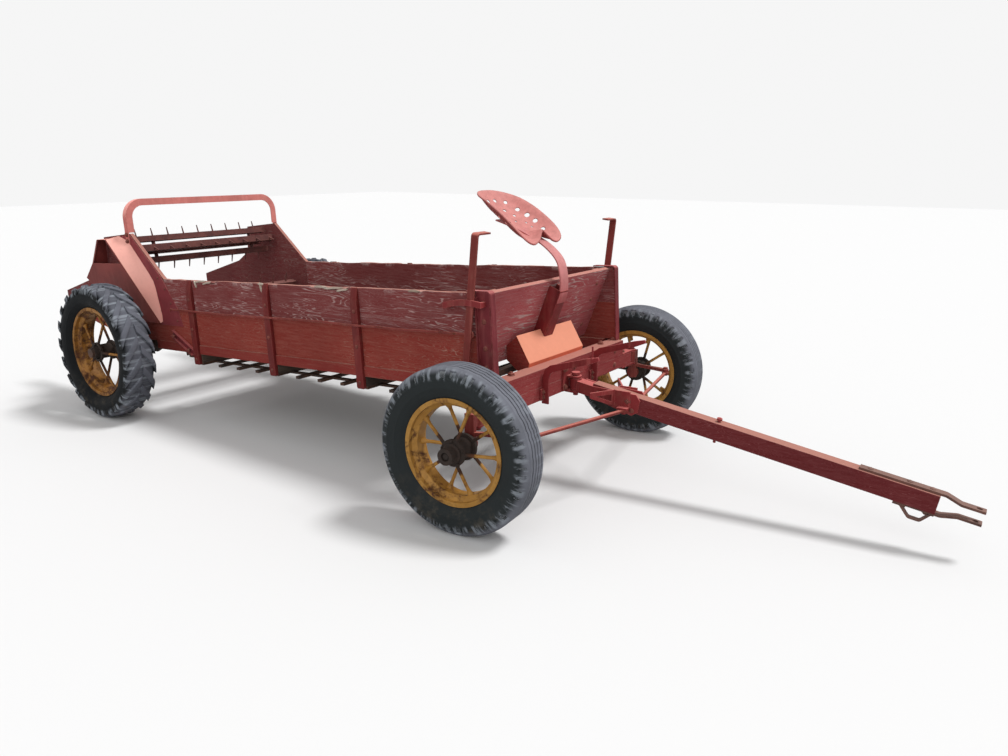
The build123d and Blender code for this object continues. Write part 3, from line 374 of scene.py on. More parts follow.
# Planks whose red paint has cracked along the grain and flaked off in pale lines
def paintedPlanks(name, paint, pale, flakes=0.5, across=False, topEdge=None, wornBand=None, lowEdge=None,
                  turn=0.0):
    material = startTree(bpy.data.materials.new(name))
    run = (12.0, 1.0, 12.0) if across else (1.0, 12.0, 12.0)
    where = coordinates(run, tilt=0.0 if across else boxPitch, turn=turn)
    plain = coordinates(tilt=0.0 if across else boxPitch)
    rings = noise(where, 1.25, 3.0, 0.5, 0.7)
    fine = noise(where, 7.0, 7.0, 0.72)
    hair = noise(where, 24.0, 5.0, 0.7)
    patch = noise(plain, 2.3, 5.0, 0.6)
    weather = noise(plain, 1.1, 3.0)
    lines = zigzag(rings, 17.0)
    colour = mixColour(ramp(weather, 0.35, 0.65), scaled(paint, 0.85), scaled(paint, 1.2))
    colour = mixColour(ramp(fine, 0.3, 0.75, 0.0, 0.5), colour, mixColour(0.3, paint, pale))
    cracks = ramp(hair, 0.62, 0.72)
    colour = mixColour(times(cracks, 0.6), colour, scaled(paint, 0.22))
    height = partOf(plain)
    if wornBand is not None:
        low, high = wornBand
        patch = combine("ADD", patch, ramp(height, high, low, 0.0, 0.16))
    breaks = noise(where, 3.6, 4.0, 0.6)
    ridge = times(ramp(lines, 0.17, 0.05), ramp(breaks, 0.4, 0.5))
    thin = zigzag(noise(where, 2.6, 2.0, 0.4, 0.3), 26.0)
    thin = times(ramp(thin, 0.1, 0.02), ramp(weather, 0.42, 0.58, 0.25, 0.85))
    colour = mixColour(times(thin, 0.55), colour, scaled(pale, 0.8))
    flaking = times(ridge, ramp(patch, 0.68 - flakes * 0.3, 0.8 - flakes * 0.25))
    loose = times(ramp(fine, 0.6, 0.68), ramp(patch, 0.76 - flakes * 0.2, 0.88 - flakes * 0.2))
    bare = larger(times(flaking, 0.85), times(loose, 0.7))
    edge = times(edgeMask(0.006), ramp(fine, 0.42, 0.56, 0.1, 0.9))
    bare = larger(bare, times(edge, ramp(weather, 0.3, 0.6, 0.35, 0.9)))
    if topEdge is not None:
        rim = ramp(height, topEdge - 0.03, topEdge - 0.004)
        rim = times(rim, ramp(noise(plain, 7.0, 6.0, 0.7), 0.5, 0.6))
        bare = larger(bare, times(rim, 0.9))
    if lowEdge is not None:
        strip = times(ramp(height, lowEdge + 0.014, lowEdge + 0.005), ramp(fine, 0.44, 0.54))
        bare = larger(bare, times(strip, ramp(weather, 0.45, 0.55, 0.3, 1.0)))
    timber = mixColour(ramp(hair, 0.32, 0.62), scaled(pale, 0.45), pale)
    colour = mixColour(bare, colour, timber)
    # Faces turned up are lighter: partly sun-faded paint, partly painted sunlight
    fadeAndPaintedSun = times(upwards(0.45, 0.9), 0.62)
    colour = mixColour(fadeAndPaintedSun, colour, linear(206, 150, 134))
    skin = bump(fine, 0.004, 0.5, roundedNormal(0.004))
    skin = bump(hair, 0.0012, 0.55, skin)
    skin = bump(ridge, 0.0012, 0.4, skin)
    finished(colour, ramp(fine, 0.2, 0.8, 0.78, 0.95), skin, specular=0.15)
    return material


def bareTimber(name, wood, dark, across=False):
    material = startTree(bpy.data.materials.new(name))
    where = coordinates((14.0, 1.0, 14.0) if across else (1.0, 14.0, 14.0),
                        tilt=0.0 if across else boxPitch)
    grain = noise(where, 2.0, 9.0, 0.7, 0.4)
    fine = noise(where, 16.0, 5.0, 0.7)
    dirt = noise(coordinates(), 3.0, 6.0, 0.65)
    colour = mixColour(ramp(grain, 0.35, 0.68), dark, wood)
    colour = mixColour(ramp(dirt, 0.45, 0.75, 0.0, 0.6), colour, scaled(dark, 0.4))
    skin = bump(fine, 0.001, 0.5, bump(grain, 0.004, 0.6, roundedNormal(0.003)))
    finished(colour, 0.88, skin)
    return material


# Iron without much paint left: dark scale with brighter rust
def rustyIron(name, dark, bright, worn, wornShare=0.2):
    material = startTree(bpy.data.materials.new(name))
    where = coordinates()
    coarse = noise(where, 9.0, 7.0, 0.65, 0.3)
    fine = noise(where, 70.0, 6.0, 0.75)
    colour = mixColour(ramp(coarse, 0.34, 0.68), dark, bright)
    colour = mixColour(ramp(fine, 0.45, 0.75, 0.0, 0.5), colour, scaled(bright, 1.6))
    colour = mixColour(times(edgeMask(0.003), wornShare), colour, worn)
    colour = mixColour(times(upwards(), wornShare * 0.6), colour, worn)
    rough = ramp(fine, 0.0, 1.0, 0.6, 0.95)
    skin = bump(fine, 0.0012, 0.5, bump(coarse, 0.003, 0.25, roundedNormal(0.002)))
    finished(colour, rough, skin)
    return material


# Old rubber: grey on the side, dusty on the tread, mud towards the ground, fine cracks all over
def oldRubber(name, hub, treadRadius, side, tread, mud):
    material = startTree(bpy.data.materials.new(name))
    where = coordinates()
    fromHub = distanceTo(coordinates((1, 0, 1)), (hub[0], 0.0, hub[2]))
    clouds = noise(where, 6.0, 7.0, 0.7)
    colour = mixColour(ramp(clouds, 0.35, 0.75), side, scaled(side, 1.5))
    rub = times(ramp(fromHub, treadRadius - 0.035, treadRadius - 0.006), ramp(clouds, 0.2, 0.7, 0.6, 1.0))
    colour = mixColour(rub, colour, tread)
    low = ramp(partOf(where), 0.02, 0.3, 1.0, 0.0)
    splash = times(low, ramp(noise(where, 16.0, 8.0, 0.7), 0.46, 0.7, 0.0, 0.35))
    colour = mixColour(splash, colour, mud)
    apart = addNode("ShaderNodeVectorMath", {0: where, 1: hub}, operation="SUBTRACT").outputs[0]
    around = combine("ARCTAN2", partOf(apart), partOf(apart, 0), False)
    polar = addNode("ShaderNodeCombineXYZ",
                    {0: combine("MULTIPLY", around, 14.0, False),
                     1: combine("MULTIPLY", fromHub, 9.0, False)}).outputs[0]
    ring = times(ramp(fromHub, treadRadius - 0.062, treadRadius - 0.04),
                 ramp(fromHub, treadRadius + 0.002, treadRadius - 0.012))
    scuff = times(ramp(noise(polar, 1.0, 5.0, 0.6), 0.48, 0.62, 0.0, 0.75), ring)
    colour = mixColour(scuff, colour, linear(146, 152, 160))
    cracks = addNode("ShaderNodeTexVoronoi", {"Vector": where, "Scale": 150.0},
                     feature="DISTANCE_TO_EDGE").outputs[0]
    skin = bump(ramp(cracks, 0.0, 0.12), 0.0005, 0.3, roundedNormal(0.003))
    skin = bump(noise(where, 120.0, 4.0), 0.0005, 0.3, skin)
    finished(colour, ramp(clouds, 0.3, 0.7, 0.68, 0.88), skin, specular=0.16)
    return material


# Rims keep their ochre paint towards the outside; the hub is dark with rust and grease
def wheelPaint(name, hub, rimRadius, paint, faded, rust, rustShare):
    material = startTree(bpy.data.materials.new(name))
    where = coordinates()
    fromHub = distanceTo(coordinates((1, 0, 1)), (hub[0], 0.0, hub[2]))
    colour = mixColour(ramp(noise(where, 7.0, 6.0, 0.7), 0.35, 0.7), paint, faded)
    patch = noise(where, 9.0, 8.0, 0.72, 0.5)
    speck = noise(where, 45.0, 7.0, 0.75)
    edge = edgeMask(0.003)
    colour = mixColour(times(edge, ramp(speck, 0.35, 0.55, 0.1, 0.7)), colour, scaled(faded, 1.35))
    grow = ramp(fromHub, 0.06, rimRadius * 0.5, 0.75, 0.0)
    bare = combine("ADD", times(patch, 0.62), grow)
    bare = combine("ADD", bare, times(speck, 0.28))
    bare = ramp(bare, 0.53 - rustShare * 0.11, 0.65 - rustShare * 0.11)
    bare = larger(bare, times(edge, ramp(patch, 0.52, 0.62)))
    rusty = mixColour(ramp(speck, 0.38, 0.68), scaled(rust, 0.4), rust)
    grease = ramp(fromHub, 0.1, 0.062, 0.0, 0.85)
    rusty = mixColour(grease, rusty, linear(44, 39, 36))
    colour = mixColour(bare, colour, rusty)
    skin = bump(speck, 0.001, 0.35, bump(bare, 0.0008, 0.5, roundedNormal(0.0022)))
    finished(colour, ramp(bare, 0.0, 1.0, 0.55, 0.88), skin)
    return material


def levelHeight(height):
    # A height on the nose-up box, as the tilted coordinates of its planks read it
    return (boxPlace.inverted().to_3x3() @ (boxPlace @ Vector((0, 0, height)))).z


ironRed = paintedIron("redIron", linear(128, 42, 44), linear(204, 112, 108), rustShare=0.25)
# Painted sunlight: a brighter copy of the red iron paint, chalky on nearly every face, used on the arch
ironPaintedSunlight = paintedIron("redIronSunny", linear(178, 82, 78), linear(244, 164, 154), rustShare=0.06,
                         lowFadeAndSun=-0.2, highFadeAndSun=0.35)
ironThin = paintedIron("thinRedIron", linear(120, 48, 44), linear(190, 112, 100), rustShare=0.65)
ironPurple = paintedIron("shadedRedIron", linear(110, 38, 44), linear(182, 100, 98), rustShare=0.15)
ironDeep = paintedIron("deepRedIron", linear(112, 34, 36), linear(176, 92, 84), rustShare=0.12)
stakePaint = paintedIron("stakeRedIron", linear(104, 32, 31), linear(164, 84, 74), rustShare=0.22)
ironSpring = paintedIron("springPaint", linear(168, 84, 84), linear(206, 136, 134), rustShare=0.1,
                         lowFadeAndSun=-0.4, highFadeAndSun=0.5)
# The chain cover's paint in two copies: the slope in painted sunlight, the side, flange, post, back and roof
# panels in painted shade
coverChalk = paintedIron("coverChalk", linear(255, 158, 144), linear(255, 186, 172), rustShare=0.0,
                         lowFadeAndSun=-0.3, highFadeAndSun=0.3, patchy=0.3)
coverRed = paintedIron("coverRed", linear(122, 52, 48), linear(220, 140, 126), rustShare=0.04, lowFadeAndSun=0.55,
                       highFadeAndSun=0.95, patchy=0.3)
sheetPaint = paintedIron("sideSheetPaint", linear(130, 50, 56), linear(206, 124, 118), rustShare=0.06,
                         patchy=0.6)
seatPaint = paintedIron("seatPaint", linear(160, 78, 76), linear(206, 136, 130), rust=linear(96, 52, 40),
                        rustShare=0.25, lowFadeAndSun=0.0, highFadeAndSun=0.7)
footBoxPaint = paintedIron("footBoxPaint", linear(196, 100, 74), linear(228, 150, 122), rustShare=0.0,
                           lowFadeAndSun=0.1, highFadeAndSun=0.45, patchy=0.2)
plankUpper = paintedPlanks("upperPlanks", linear(118, 46, 46), linear(196, 160, 156), 0.8,
                           topEdge=levelHeight(0.866), wornBand=(levelHeight(0.7), levelHeight(0.8)))
plankLower = paintedPlanks("lowerPlanks", linear(134, 46, 38), linear(196, 150, 134), 0.4,
                           lowEdge=levelHeight(0.448))
plankRear = paintedPlanks("rearPlanks", linear(106, 40, 42), linear(170, 146, 138), 0.55)
plankGate = paintedPlanks("gatePlanks", linear(162, 70, 74), linear(210, 184, 180), 0.8, across=True)
timberRed = paintedPlanks("redSills", linear(132, 44, 40), linear(170, 126, 112), 0.25)
timberAcross = paintedPlanks("redTimbers", linear(132, 44, 46), linear(180, 132, 124), 0.3, across=True)
# The tongue's red paint is made darker than the other timbers' as painted shade
timberTongue = paintedPlanks("tongueTimber", linear(98, 30, 33), linear(176, 112, 112), 0.18,
                             turn=-tongueTurn)
floorTimber = bareTimber("floorTimber", linear(124, 108, 92), linear(78, 66, 56))
crossTimber = bareTimber("crossTimber", linear(96, 82, 70), linear(60, 48, 42), across=True)
splinterWood = bareTimber("splinterWood", linear(206, 192, 178), linear(150, 128, 112))
# Rubber in the tyres' shoulder cuts: near-white on the edges and on faces turned up, as painted highlights
cutRubber = rustyIron("cutRubber", linear(30, 33, 36), linear(84, 88, 92), linear(190, 194, 198), 0.9)
darkIron = rustyIron("darkIron", linear(52, 43, 40), linear(92, 64, 50), linear(120, 104, 92))
beaterIron = rustyIron("beaterIron", linear(78, 42, 40), linear(108, 62, 56), linear(156, 110, 102), 0.45)
wornIron = rustyIron("wornIron", linear(78, 52, 46), linear(112, 78, 68), linear(172, 138, 126), 0.5)
boltIron = rustyIron("boltIron", linear(92, 46, 42), linear(126, 66, 56), linear(176, 118, 102), 0.5)
wheelLook = {"front": {"tread": 0.385, "side": linear(37, 41, 42), "dust": linear(116, 118, 127),
                       "rim": 0.233, "paint": linear(158, 112, 44), "faded": linear(182, 134, 62),
                       "rustShare": 0.72},
             "rear": {"tread": 0.43, "side": linear(17, 19, 21), "dust": linear(101, 103, 112),
                      "rim": 0.272, "paint": linear(146, 96, 34), "faded": linear(162, 114, 50),
                      "rustShare": 1.15}}
mud, rimRust = linear(112, 102, 88), linear(92, 56, 36)
hubMouth = Vector((0, -0.13, 0))       # where the knuckle's nut sits in the grease
rubber, rimPaint, knuckleIron = {}, {}, {}
for corner, hub in hubs.items():
    look = wheelLook[corner.split("_")[0]]
    rubber[corner] = oldRubber(f"rubber_{corner}", hub, look["tread"], look["side"], look["dust"], mud)
    rimPaint[corner] = wheelPaint(f"rimPaint_{corner}", hub, look["rim"], look["paint"], look["faded"],
                                  rimRust, look["rustShare"])
    if corner.startswith("front"):
        knuckleIron[corner] = paintedIron(f"knuckleIron_{corner}", linear(120, 48, 44),
                                          linear(190, 112, 100), rustShare=0.5,
                                          greasy=wheelPlace[corner] @ hubMouth)

dressed = [(plankUpper, "side_plank_upper_right side_plank_upper_left"),
           (plankRear, "rear_panel_right rear_panel_left"),
           (plankLower, "side_plank_lower_right side_plank_lower_left endgate_cleats"),
           (plankGate, "endgate"), (timberRed, "sills"), (timberAcross, "front_axle bolster"),
           (timberTongue, "tongue_wood"), (floorTimber, "floor_boards"), (crossTimber, "cross_sills"),
           (stakePaint, "stakes"),
           (ironRed, "lever_guides axle_irons foot_rails foot_bars tongue_bracket tongue_root tongue_bolt"),
           (ironThin, "levers control_rods beater_bearings tie_rod_right tie_rod_left"),
           (ironPurple, "side_braces corner_posts seat_support"),
           (ironPaintedSunlight, "arch chain_cover seat_spring"), (sheetPaint, "drive_side_sheet"),
           (seatPaint, "seat_pan"), (footBoxPaint, "foot_box"), (beaterIron, "upper_beater lower_beater"),
           (wornIron, "hitch_irons"), (darkIron, "apron apron_shafts apron_hangers axle_plates rear_axle"),
           (knuckleIron["front_right"], "knuckle_right"), (knuckleIron["front_left"], "knuckle_left")]
for corner in hubs:
    end, side = corner.split("_")
    dressed += [(rimPaint[corner], f"{end}_wheel_{side}"), (rubber[corner], f"{end}_tyre_{side}")]
for material, names in dressed:
    for name in names.split():
        nodes[name].data.materials.clear()
        nodes[name].data.materials.append(material)
print("materials done")


# Sheets are laid point by point: a grid whose points are pulled to their places, then given a thickness
def between(first, second, share):
    return first + (second - first) * share


def alongLine(points, share):
    # A place on a bent line, by its share of the line's length
    points = [Vector(point) for point in points]
    lengths = [(after - before).length for before, after in zip(points, points[1:])]
    left = share * sum(lengths)
    for before, after, length in zip(points, points[1:], lengths):
        if left <= length:
            return between(before, after, left / length)
        left -= length
    return points[-1]


def curvePath(corners, steps):
    # A soft curve through the corners, with the given number of steps between each two
    corners = [Vector(corner) for corner in corners]
    path = []
    for i in range(len(corners) - 1):
        start, end = corners[i], corners[i + 1]
        leave = (end - corners[max(i - 1, 0)]) / 6
        arrive = (corners[min(i + 2, len(corners) - 1)] - start) / 6
        path += interpolate_bezier(start, start + leave, end - arrive, end, steps + 1)[:-1]
    return path + [corners[-1]]


def laySheet(name, rows, thick=0.0):
    columns = len(rows[0])
    bpy.ops.mesh.primitive_grid_add(x_subdivisions=columns - 1, y_subdivisions=len(rows) - 1, size=2)
    piece = bpy.context.object
    piece.name = name
    startEdit(piece, "VERT")
    mesh = bmesh.from_edit_mesh(piece.data)
    for vert in mesh.verts:
        column = round((vert.co.x + 1) / 2 * (columns - 1))
        row = round((vert.co.y + 1) / 2 * (len(rows) - 1))
        vert.co = rows[row][column]
    bmesh.update_edit_mesh(piece.data)
    endEdit()
    if thick:
        addModifier(piece, "SOLIDIFY", thickness=thick, offset=0.0)
    return piece


# Chain cover: a slope folded over a side sheet, with an open window under its roof; the slope carries
# painted sunlight (a bright copy of the red paint) and the panels painted shade (a dark copy of it)
chainCover = {"inner": -0.5983, "outer": -0.6903, "lean": 0.078, "top": 1.123, "bottom": 0.578,
              "edge": (-0.16, 0.384), "windowSill": 0.965, "post": 0.014, "flange": 0.016, "thick": 0.0022,
              "rows": 16, "columns": 4, "dent": 0.004, "dents": 9, "bead": 0.0006,
              "slopeInner": [(-0.159, 1.142), (-0.052, 1.106), (0.139, 0.903), (0.19, 0.839),
                             (0.235, 0.607), (0.23, 0.586)],
              "side": [(-0.424, 0.965), (-0.566, 0.86), (-0.33, 0.7), (-0.12, 0.578)], "roofRear": -0.278,
              "backInner": [(-0.335, 1.123), (-0.352, 0.942), (-0.49, 0.862)]}


def makeChainCover(settings):
    top, bottom, inner = settings["top"], settings["bottom"], settings["inner"]

    def outside(x, z):
        return Vector((x, settings["outer"] + (top - z) / (top - bottom) * settings["lean"], z))

    def edge(z, back=0.0):
        return outside(settings["edge"][0] + (top - z) / (top - bottom) * settings["edge"][1] - back, z)

    innerLine = [Vector((x, inner, z)) for x, z in settings["slopeInner"]]
    rows, shares = [], [k / settings["columns"] for k in range(settings["columns"] + 1)]
    for i in range(settings["rows"] + 1):
        share = i / settings["rows"]
        outer, far = edge(between(top, bottom, share)), alongLine(innerLine, share)
        dent = Vector((0, 0, settings["dent"] * math.sin(settings["dents"] * share)))
        rows.append([between(outer, far, aside) + dent * math.sin(math.pi * aside) for aside in shares])
    slope = laySheet("coverSlope", rows, settings["thick"])
    rearTop = outside(settings["roofRear"], top)
    side = [outside(x, z) for x, z in settings["side"]]
    slant = (side[0] - rearTop).normalized()
    aside = Vector((slant.z, 0, -slant.x)) * -settings["post"]
    back = [Vector((x, inner, z)) for x, z in settings["backInner"]]
    sheets = {"coverSide": [[corner, edge(z)] for corner, (_, z) in zip(side, settings["side"])],
              "coverFlange": [[edge(z, settings["flange"]), edge(z)]
                              for z in (top, settings["windowSill"])],
              "coverPost": [[rearTop, rearTop + aside], [side[0], side[0] + aside]],
              "coverBack": [[outer, inward] for outer, inward in zip([rearTop, *side], back)],
              "coverRoof": [[edge(top), Vector((settings["edge"][0], inner, top))], [rearTop, back[0]]]}
    panels = [laySheet(name, points, settings["thick"]) for name, points in sheets.items()]
    return slope, joinPieces(panels, "coverPanels")


slope, panels = makeChainCover(chainCover)
for piece, material, kept in ((slope, coverChalk, ()), (panels, coverRed, ("chain_cover",))):
    piece.data.transform(boxPlace)
    cleanMesh(piece)
    roundEdges(piece, chainCover["bead"], 1)
    finishPiece(piece, material, "chassis", "red_iron", *kept, angle=25)
print("chain cover done")

# Foot box: a folded sheet on two boards in front of the endgate, notched round the seat support
footBox = {"top": (2.8065, 0.77), "fold": (2.887, 0.6385), "lip": (2.87, 0.5745), "half": 0.257,
           "notch": 0.042, "notchDeep": 0.26, "bend": 0.06, "thick": 0.0025, "bead": 0.0007, "board": 0.244,
           "boardThick": 0.018,
           "boardSide": [((2.743, 0.711), (2.745, 0.637)), ((2.804, 0.766), (2.835, 0.574)),
                         ((2.884, 0.638), (2.868, 0.576))]}


def makeFootBox(settings):
    half, notch = settings["half"], settings["notch"]

    def across(x, z):
        return [Vector((x, y, z)) for y in (-half, -notch, notch, half)]

    top, fold, lip = (Vector((x, 0, z)) for x, z in (settings["top"], settings["fold"], settings["lip"]))
    share, bend = settings["notchDeep"], settings["bend"]
    levels = [top, between(top, fold, share), between(top, fold, 1 - bend / 2), fold,
              between(fold, lip, bend), lip]
    sheet = laySheet("footBox", [across(point.x, point.z) for point in levels])
    startEdit(sheet, "FACE")
    pickFaces(sheet, lambda place, normal: abs(place.y) < notch / 2 and place.z > levels[1].z)
    bpy.ops.mesh.delete(type="FACE")
    endEdit()
    addModifier(sheet, "SOLIDIFY", thickness=settings["thick"], offset=0.0)
    roundEdges(sheet, settings["bead"], 1)
    boards = []
    for way in (-1, 1):
        y = way * settings["board"]
        rows = [[Vector((x, y, z)) for x, z in ends] for ends in settings["boardSide"]]
        board = laySheet("footBoard", rows, settings["boardThick"])
        roundEdges(board, 0.0015)
        boards.append(board)
    return sheet, joinPieces(boards, "footBoards")


sheet, boards = makeFootBox(footBox)
for piece, material, slot, node in ((sheet, footBoxPaint, "orange_paint", "foot_box"),
                                    (boards, timberRed, "red_iron", "foot_rails")):
    piece.data.transform(Matrix.Translation((rearAxle.x, 0, 0)))
    cleanMesh(piece)
    finishPiece(piece, material, "chassis", slot, node, angle=30)
print("foot box done")

# Seat: a wide spring bolted to the support carries the dished pan; two lobes curl down at its front
seatFrame = {"spring": [(2.56, 1.167), (2.64, 1.14), (2.74, 1.098), (2.81, 1.061), (2.842, 1.043),
                        (2.879, 1.015), (2.914, 0.981), (2.935, 0.947), (2.945, 0.905), (2.949, 0.861),
                        (2.947, 0.817), (2.94, 0.782), (2.924, 0.744)], "springHalf": 0.036,
             "springThick": 0.008, "supportHalf": 0.038, "supportWall": 0.006, "supportDeep": 0.074,
             "supportLow": 0.098, "supportHigh": 0.402, "gateRun": (0.1764, 0.388),
             "gateFoot": (2.718, 0, 0.47)}
seatPan = {"back": (2.473, 1.32), "tilt": 35.8, "wall": 0.0032, "middle": (0.215, 0.0),
           "outline": [(0.41, 0.0), (0.424, 0.018), (0.447, 0.047), (0.46, 0.08), (0.462, 0.112),
                       (0.45, 0.146), (0.418, 0.17), (0.36, 0.178), (0.28, 0.174), (0.2, 0.167),
                       (0.12, 0.152), (0.06, 0.127), (0.02, 0.085), (0.002, 0.04), (0.0, 0.0)],
           "rimHeight": [0.04, 0.03, 0.014, 0.002, 0.0, 0.008, 0.02, 0.031, 0.038, 0.038, 0.03, 0.016,
                         0.006, 0.001, 0.0],
           "rings": [(0.985, 0.0, -0.0075), (1.006, 0.0, -0.006), (1.01, 0.0, -0.002), (1.0, 0.0, 0.0005),
                     (0.975, 0.03, 0.0), (0.92, 0.16, 0.0), (0.82, 0.42, 0.0), (0.68, 0.7, 0.0),
                     (0.5, 0.9, 0.0), (0.3, 0.98, 0.0), (0.1, 1.0, 0.0)], "dish": -0.034, "lastRing": 0.03,
           "holes": [(0.066, 0.028, 0.011), (0.094, 0.086, 0.011), (0.142, 0.036, 0.01),
                     (0.166, 0.108, 0.012), (0.192, 0.064, 0.009), (0.225, 0.122, 0.013),
                     (0.236, 0.028, 0.007), (0.28, 0.13, 0.012), (0.345, 0.128, 0.011),
                     (0.262, 0.086, 0.006), (0.3, 0.092, 0.005), (0.335, 0.074, 0.005)]}


def makeSeatPan(settings):
    middle = Vector((*settings["middle"], 0))
    half = [(*place, height) for place, height in zip(settings["outline"], settings["rimHeight"])]
    rim = half[:-1] + [(along, -across, height) for along, across, height in reversed(half)][:-1]
    rim = curvePath(rim + [rim[0]], 2)[:-1]
    rows = []
    for scale, sink, drop in settings["rings"]:
        row = [middle + (spot - middle) * scale for spot in rim]
        for point, spot in zip(row, rim):
            point.z = between(spot.z, settings["dish"], sink) + drop
        rows.append(row + [row[0]])
    pan = laySheet("seatPan", rows)
    startEdit(pan, "VERT")
    pickAll()
    bpy.ops.mesh.remove_doubles(threshold=0.00002)
    pickVerts(pan, lambda place: max(abs(place.x - middle.x), abs(place.y)) < settings["lastRing"])
    bpy.ops.mesh.edge_face_add()
    pickAll()
    bpy.ops.mesh.normals_make_consistent(inside=False)
    endEdit()
    pan.data.flip_normals()
    addModifier(pan, "SOLIDIFY", thickness=settings["wall"], offset=0.0)
    cutters = []
    for along, across, radius in settings["holes"]:
        for way in (-1, 1):
            bpy.ops.mesh.primitive_cylinder_add(vertices=18, radius=radius, depth=0.2,
                                                location=(along, way * across, 0))
            cutters.append(bpy.context.object)
            settle(cutters[-1])
    cutter = joinPieces(cutters, "seatCutter")
    addModifier(pan, "BOOLEAN", operation="DIFFERENCE", solver="EXACT", object=cutter)
    dropPiece(cutter)
    return pan


def makeSeatIrons(settings):
    path = curvePath([(x, 0, z) for x, z in settings["spring"]], 3)
    half = settings["springHalf"]
    spring = laySheet("seatSpring",
                      [[point + Vector((0, -half, 0)), point + Vector((0, half, 0))] for point in path],
                      settings["springThick"])
    roundEdges(spring, ironBead)
    wall, deep, wide = settings["supportWall"], settings["supportDeep"], settings["supportHalf"]
    low, high = settings["supportLow"], settings["supportHigh"]
    walls = {"supportFront": ((deep - wall, deep), (-wide, wide)),
             "supportNear": ((0.001, deep - wall), (-wide, -wide + wall)),
             "supportFar": ((0.001, deep - wall), (wide - wall, wide))}
    support = joinPieces([addBox(name, x, y, (low, high)) for name, (x, y) in walls.items()], "seatSupport")
    cleanMesh(support)
    roundEdges(support, ironBead)
    return spring, support


pan = makeSeatPan(seatPan)
panPlace = (boxPlace @ Matrix.Translation((seatPan["back"][0], 0, seatPan["back"][1]))
            @ Matrix.Rotation(math.radians(seatPan["tilt"]), 4, "Y"))
pan.data.transform(panPlace)
finishPiece(pan, seatPaint, "chassis", "red_iron", "seat_pan", angle=40)
spring, support = makeSeatIrons(seatFrame)
gatePlace = (boxPlace @ Matrix.Translation(seatFrame["gateFoot"])
             @ Matrix.Rotation(math.atan2(*seatFrame["gateRun"]), 4, "Y"))
spring.data.transform(boxPlace)
support.data.transform(gatePlace)
finishPiece(spring, ironSpring, "chassis", "red_iron", "seat_spring")
finishPiece(support, ironDeep, "chassis", "red_iron", "seat_support")
print("seat done")

# Front tyres: ribbed tread with wavy grooves, shoulder cuts and rings on the side
frontTyre = {"radius": 0.385, "steps": 126, "wave": 0.0022, "waveBand": 0.042, "notchDepth": 0.0065,
             "notchInset": 0.0056, "notchEvery": 3, "notchBand": (0.342, 0.3745), "notchAside": 0.066,
             "side": [(0.2335, 0.0595), (0.25, 0.0602), (0.256, 0.0645), (0.266, 0.0725), (0.278, 0.0795),
                      (0.294, 0.0848), (0.296, 0.0862), (0.299, 0.0862), (0.301, 0.0855), (0.316, 0.087),
                      (0.332, 0.0862), (0.334, 0.0873), (0.337, 0.087), (0.339, 0.0855), (0.35, 0.0832),
                      (0.366, 0.076), (0.374, 0.069), (0.38, 0.062), (0.3835, 0.057)],
             "ribs": [0.0555, 0.0395, 0.0325, 0.0155, 0.0085], "grooveDepth": 0.0075, "grooveSlant": 0.0008}


def makeFrontTyre(settings):
    top, slant = settings["radius"], settings["grooveSlant"]
    floor = top - settings["grooveDepth"]
    half = [(top, settings["ribs"][0])]
    for outer, inner in zip(settings["ribs"][1::2], settings["ribs"][2::2]):
        half += [(top, outer), (floor, outer - slant), (floor, inner + slant), (top, inner)]
    profile = settings["side"] + half
    profile += [(radius, -across) for radius, across in reversed(profile)] + [profile[0]]
    tyre = drawOut("frontTyre", profile, settings["steps"])
    # The rings begin half a step off, so the rounding below makes waves and cuts a little uneven, as if worn
    step = 2 * math.pi / settings["steps"]
    startEdit(tyre, "VERT")

    def grooveWall(place, odd):
        around = math.atan2(place.z, place.x) / step
        inTread = math.hypot(place.x, place.z) > floor - 0.0015 and abs(place.y) < settings["waveBand"]
        return inTread and round(around) % 2 == odd

    for odd, way in ((0, 1), (1, -1)):
        pickVerts(tyre, lambda place: grooveWall(place, odd))
        shift(0, way * settings["wave"], 0)
    bpy.ops.mesh.select_mode(type="FACE")

    def shoulder(place, normal):
        around = math.atan2(place.z, place.x) / step - 0.5
        low, high = settings["notchBand"]
        inShoulder = low < math.hypot(place.x, place.z) < high and abs(place.y) > settings["notchAside"]
        return inShoulder and round(around) % settings["notchEvery"] == 0

    pickFaces(tyre, shoulder)
    bpy.ops.mesh.inset(thickness=settings["notchInset"], depth=-settings["notchDepth"])
    mesh = bmesh.from_edit_mesh(tyre.data)
    for face in mesh.faces:
        face.material_index = 1 if face.select else 0
    endEdit()
    return tyre


# Rear tyres: a casing with two staggered rows of rounded bars
rearTyre = {"steps": 96, "bars": 20, "barWide": 0.054, "barDeep": 0.034, "barStart": (-0.003, 0.413),
            "sweep": 19.0, "round": 0.004,
            "barSteps": [(0.02, 0.0, 0.0), (0.022, 0.001, 0.01), (0.022, 0.003, 0.02), (0.02, 0.009, 0.04),
                         (0.014, 0.012, 0.05)],
            "side": [(0.2725, 0.0595), (0.29, 0.06), (0.297, 0.07), (0.306, 0.081), (0.318, 0.091),
                     (0.322, 0.0945), (0.3255, 0.0945), (0.33, 0.0965), (0.348, 0.101), (0.368, 0.0985),
                     (0.385, 0.0945), (0.399, 0.088), (0.409, 0.078), (0.415, 0.064), (0.417, 0.04),
                     (0.418, 0.0)]}


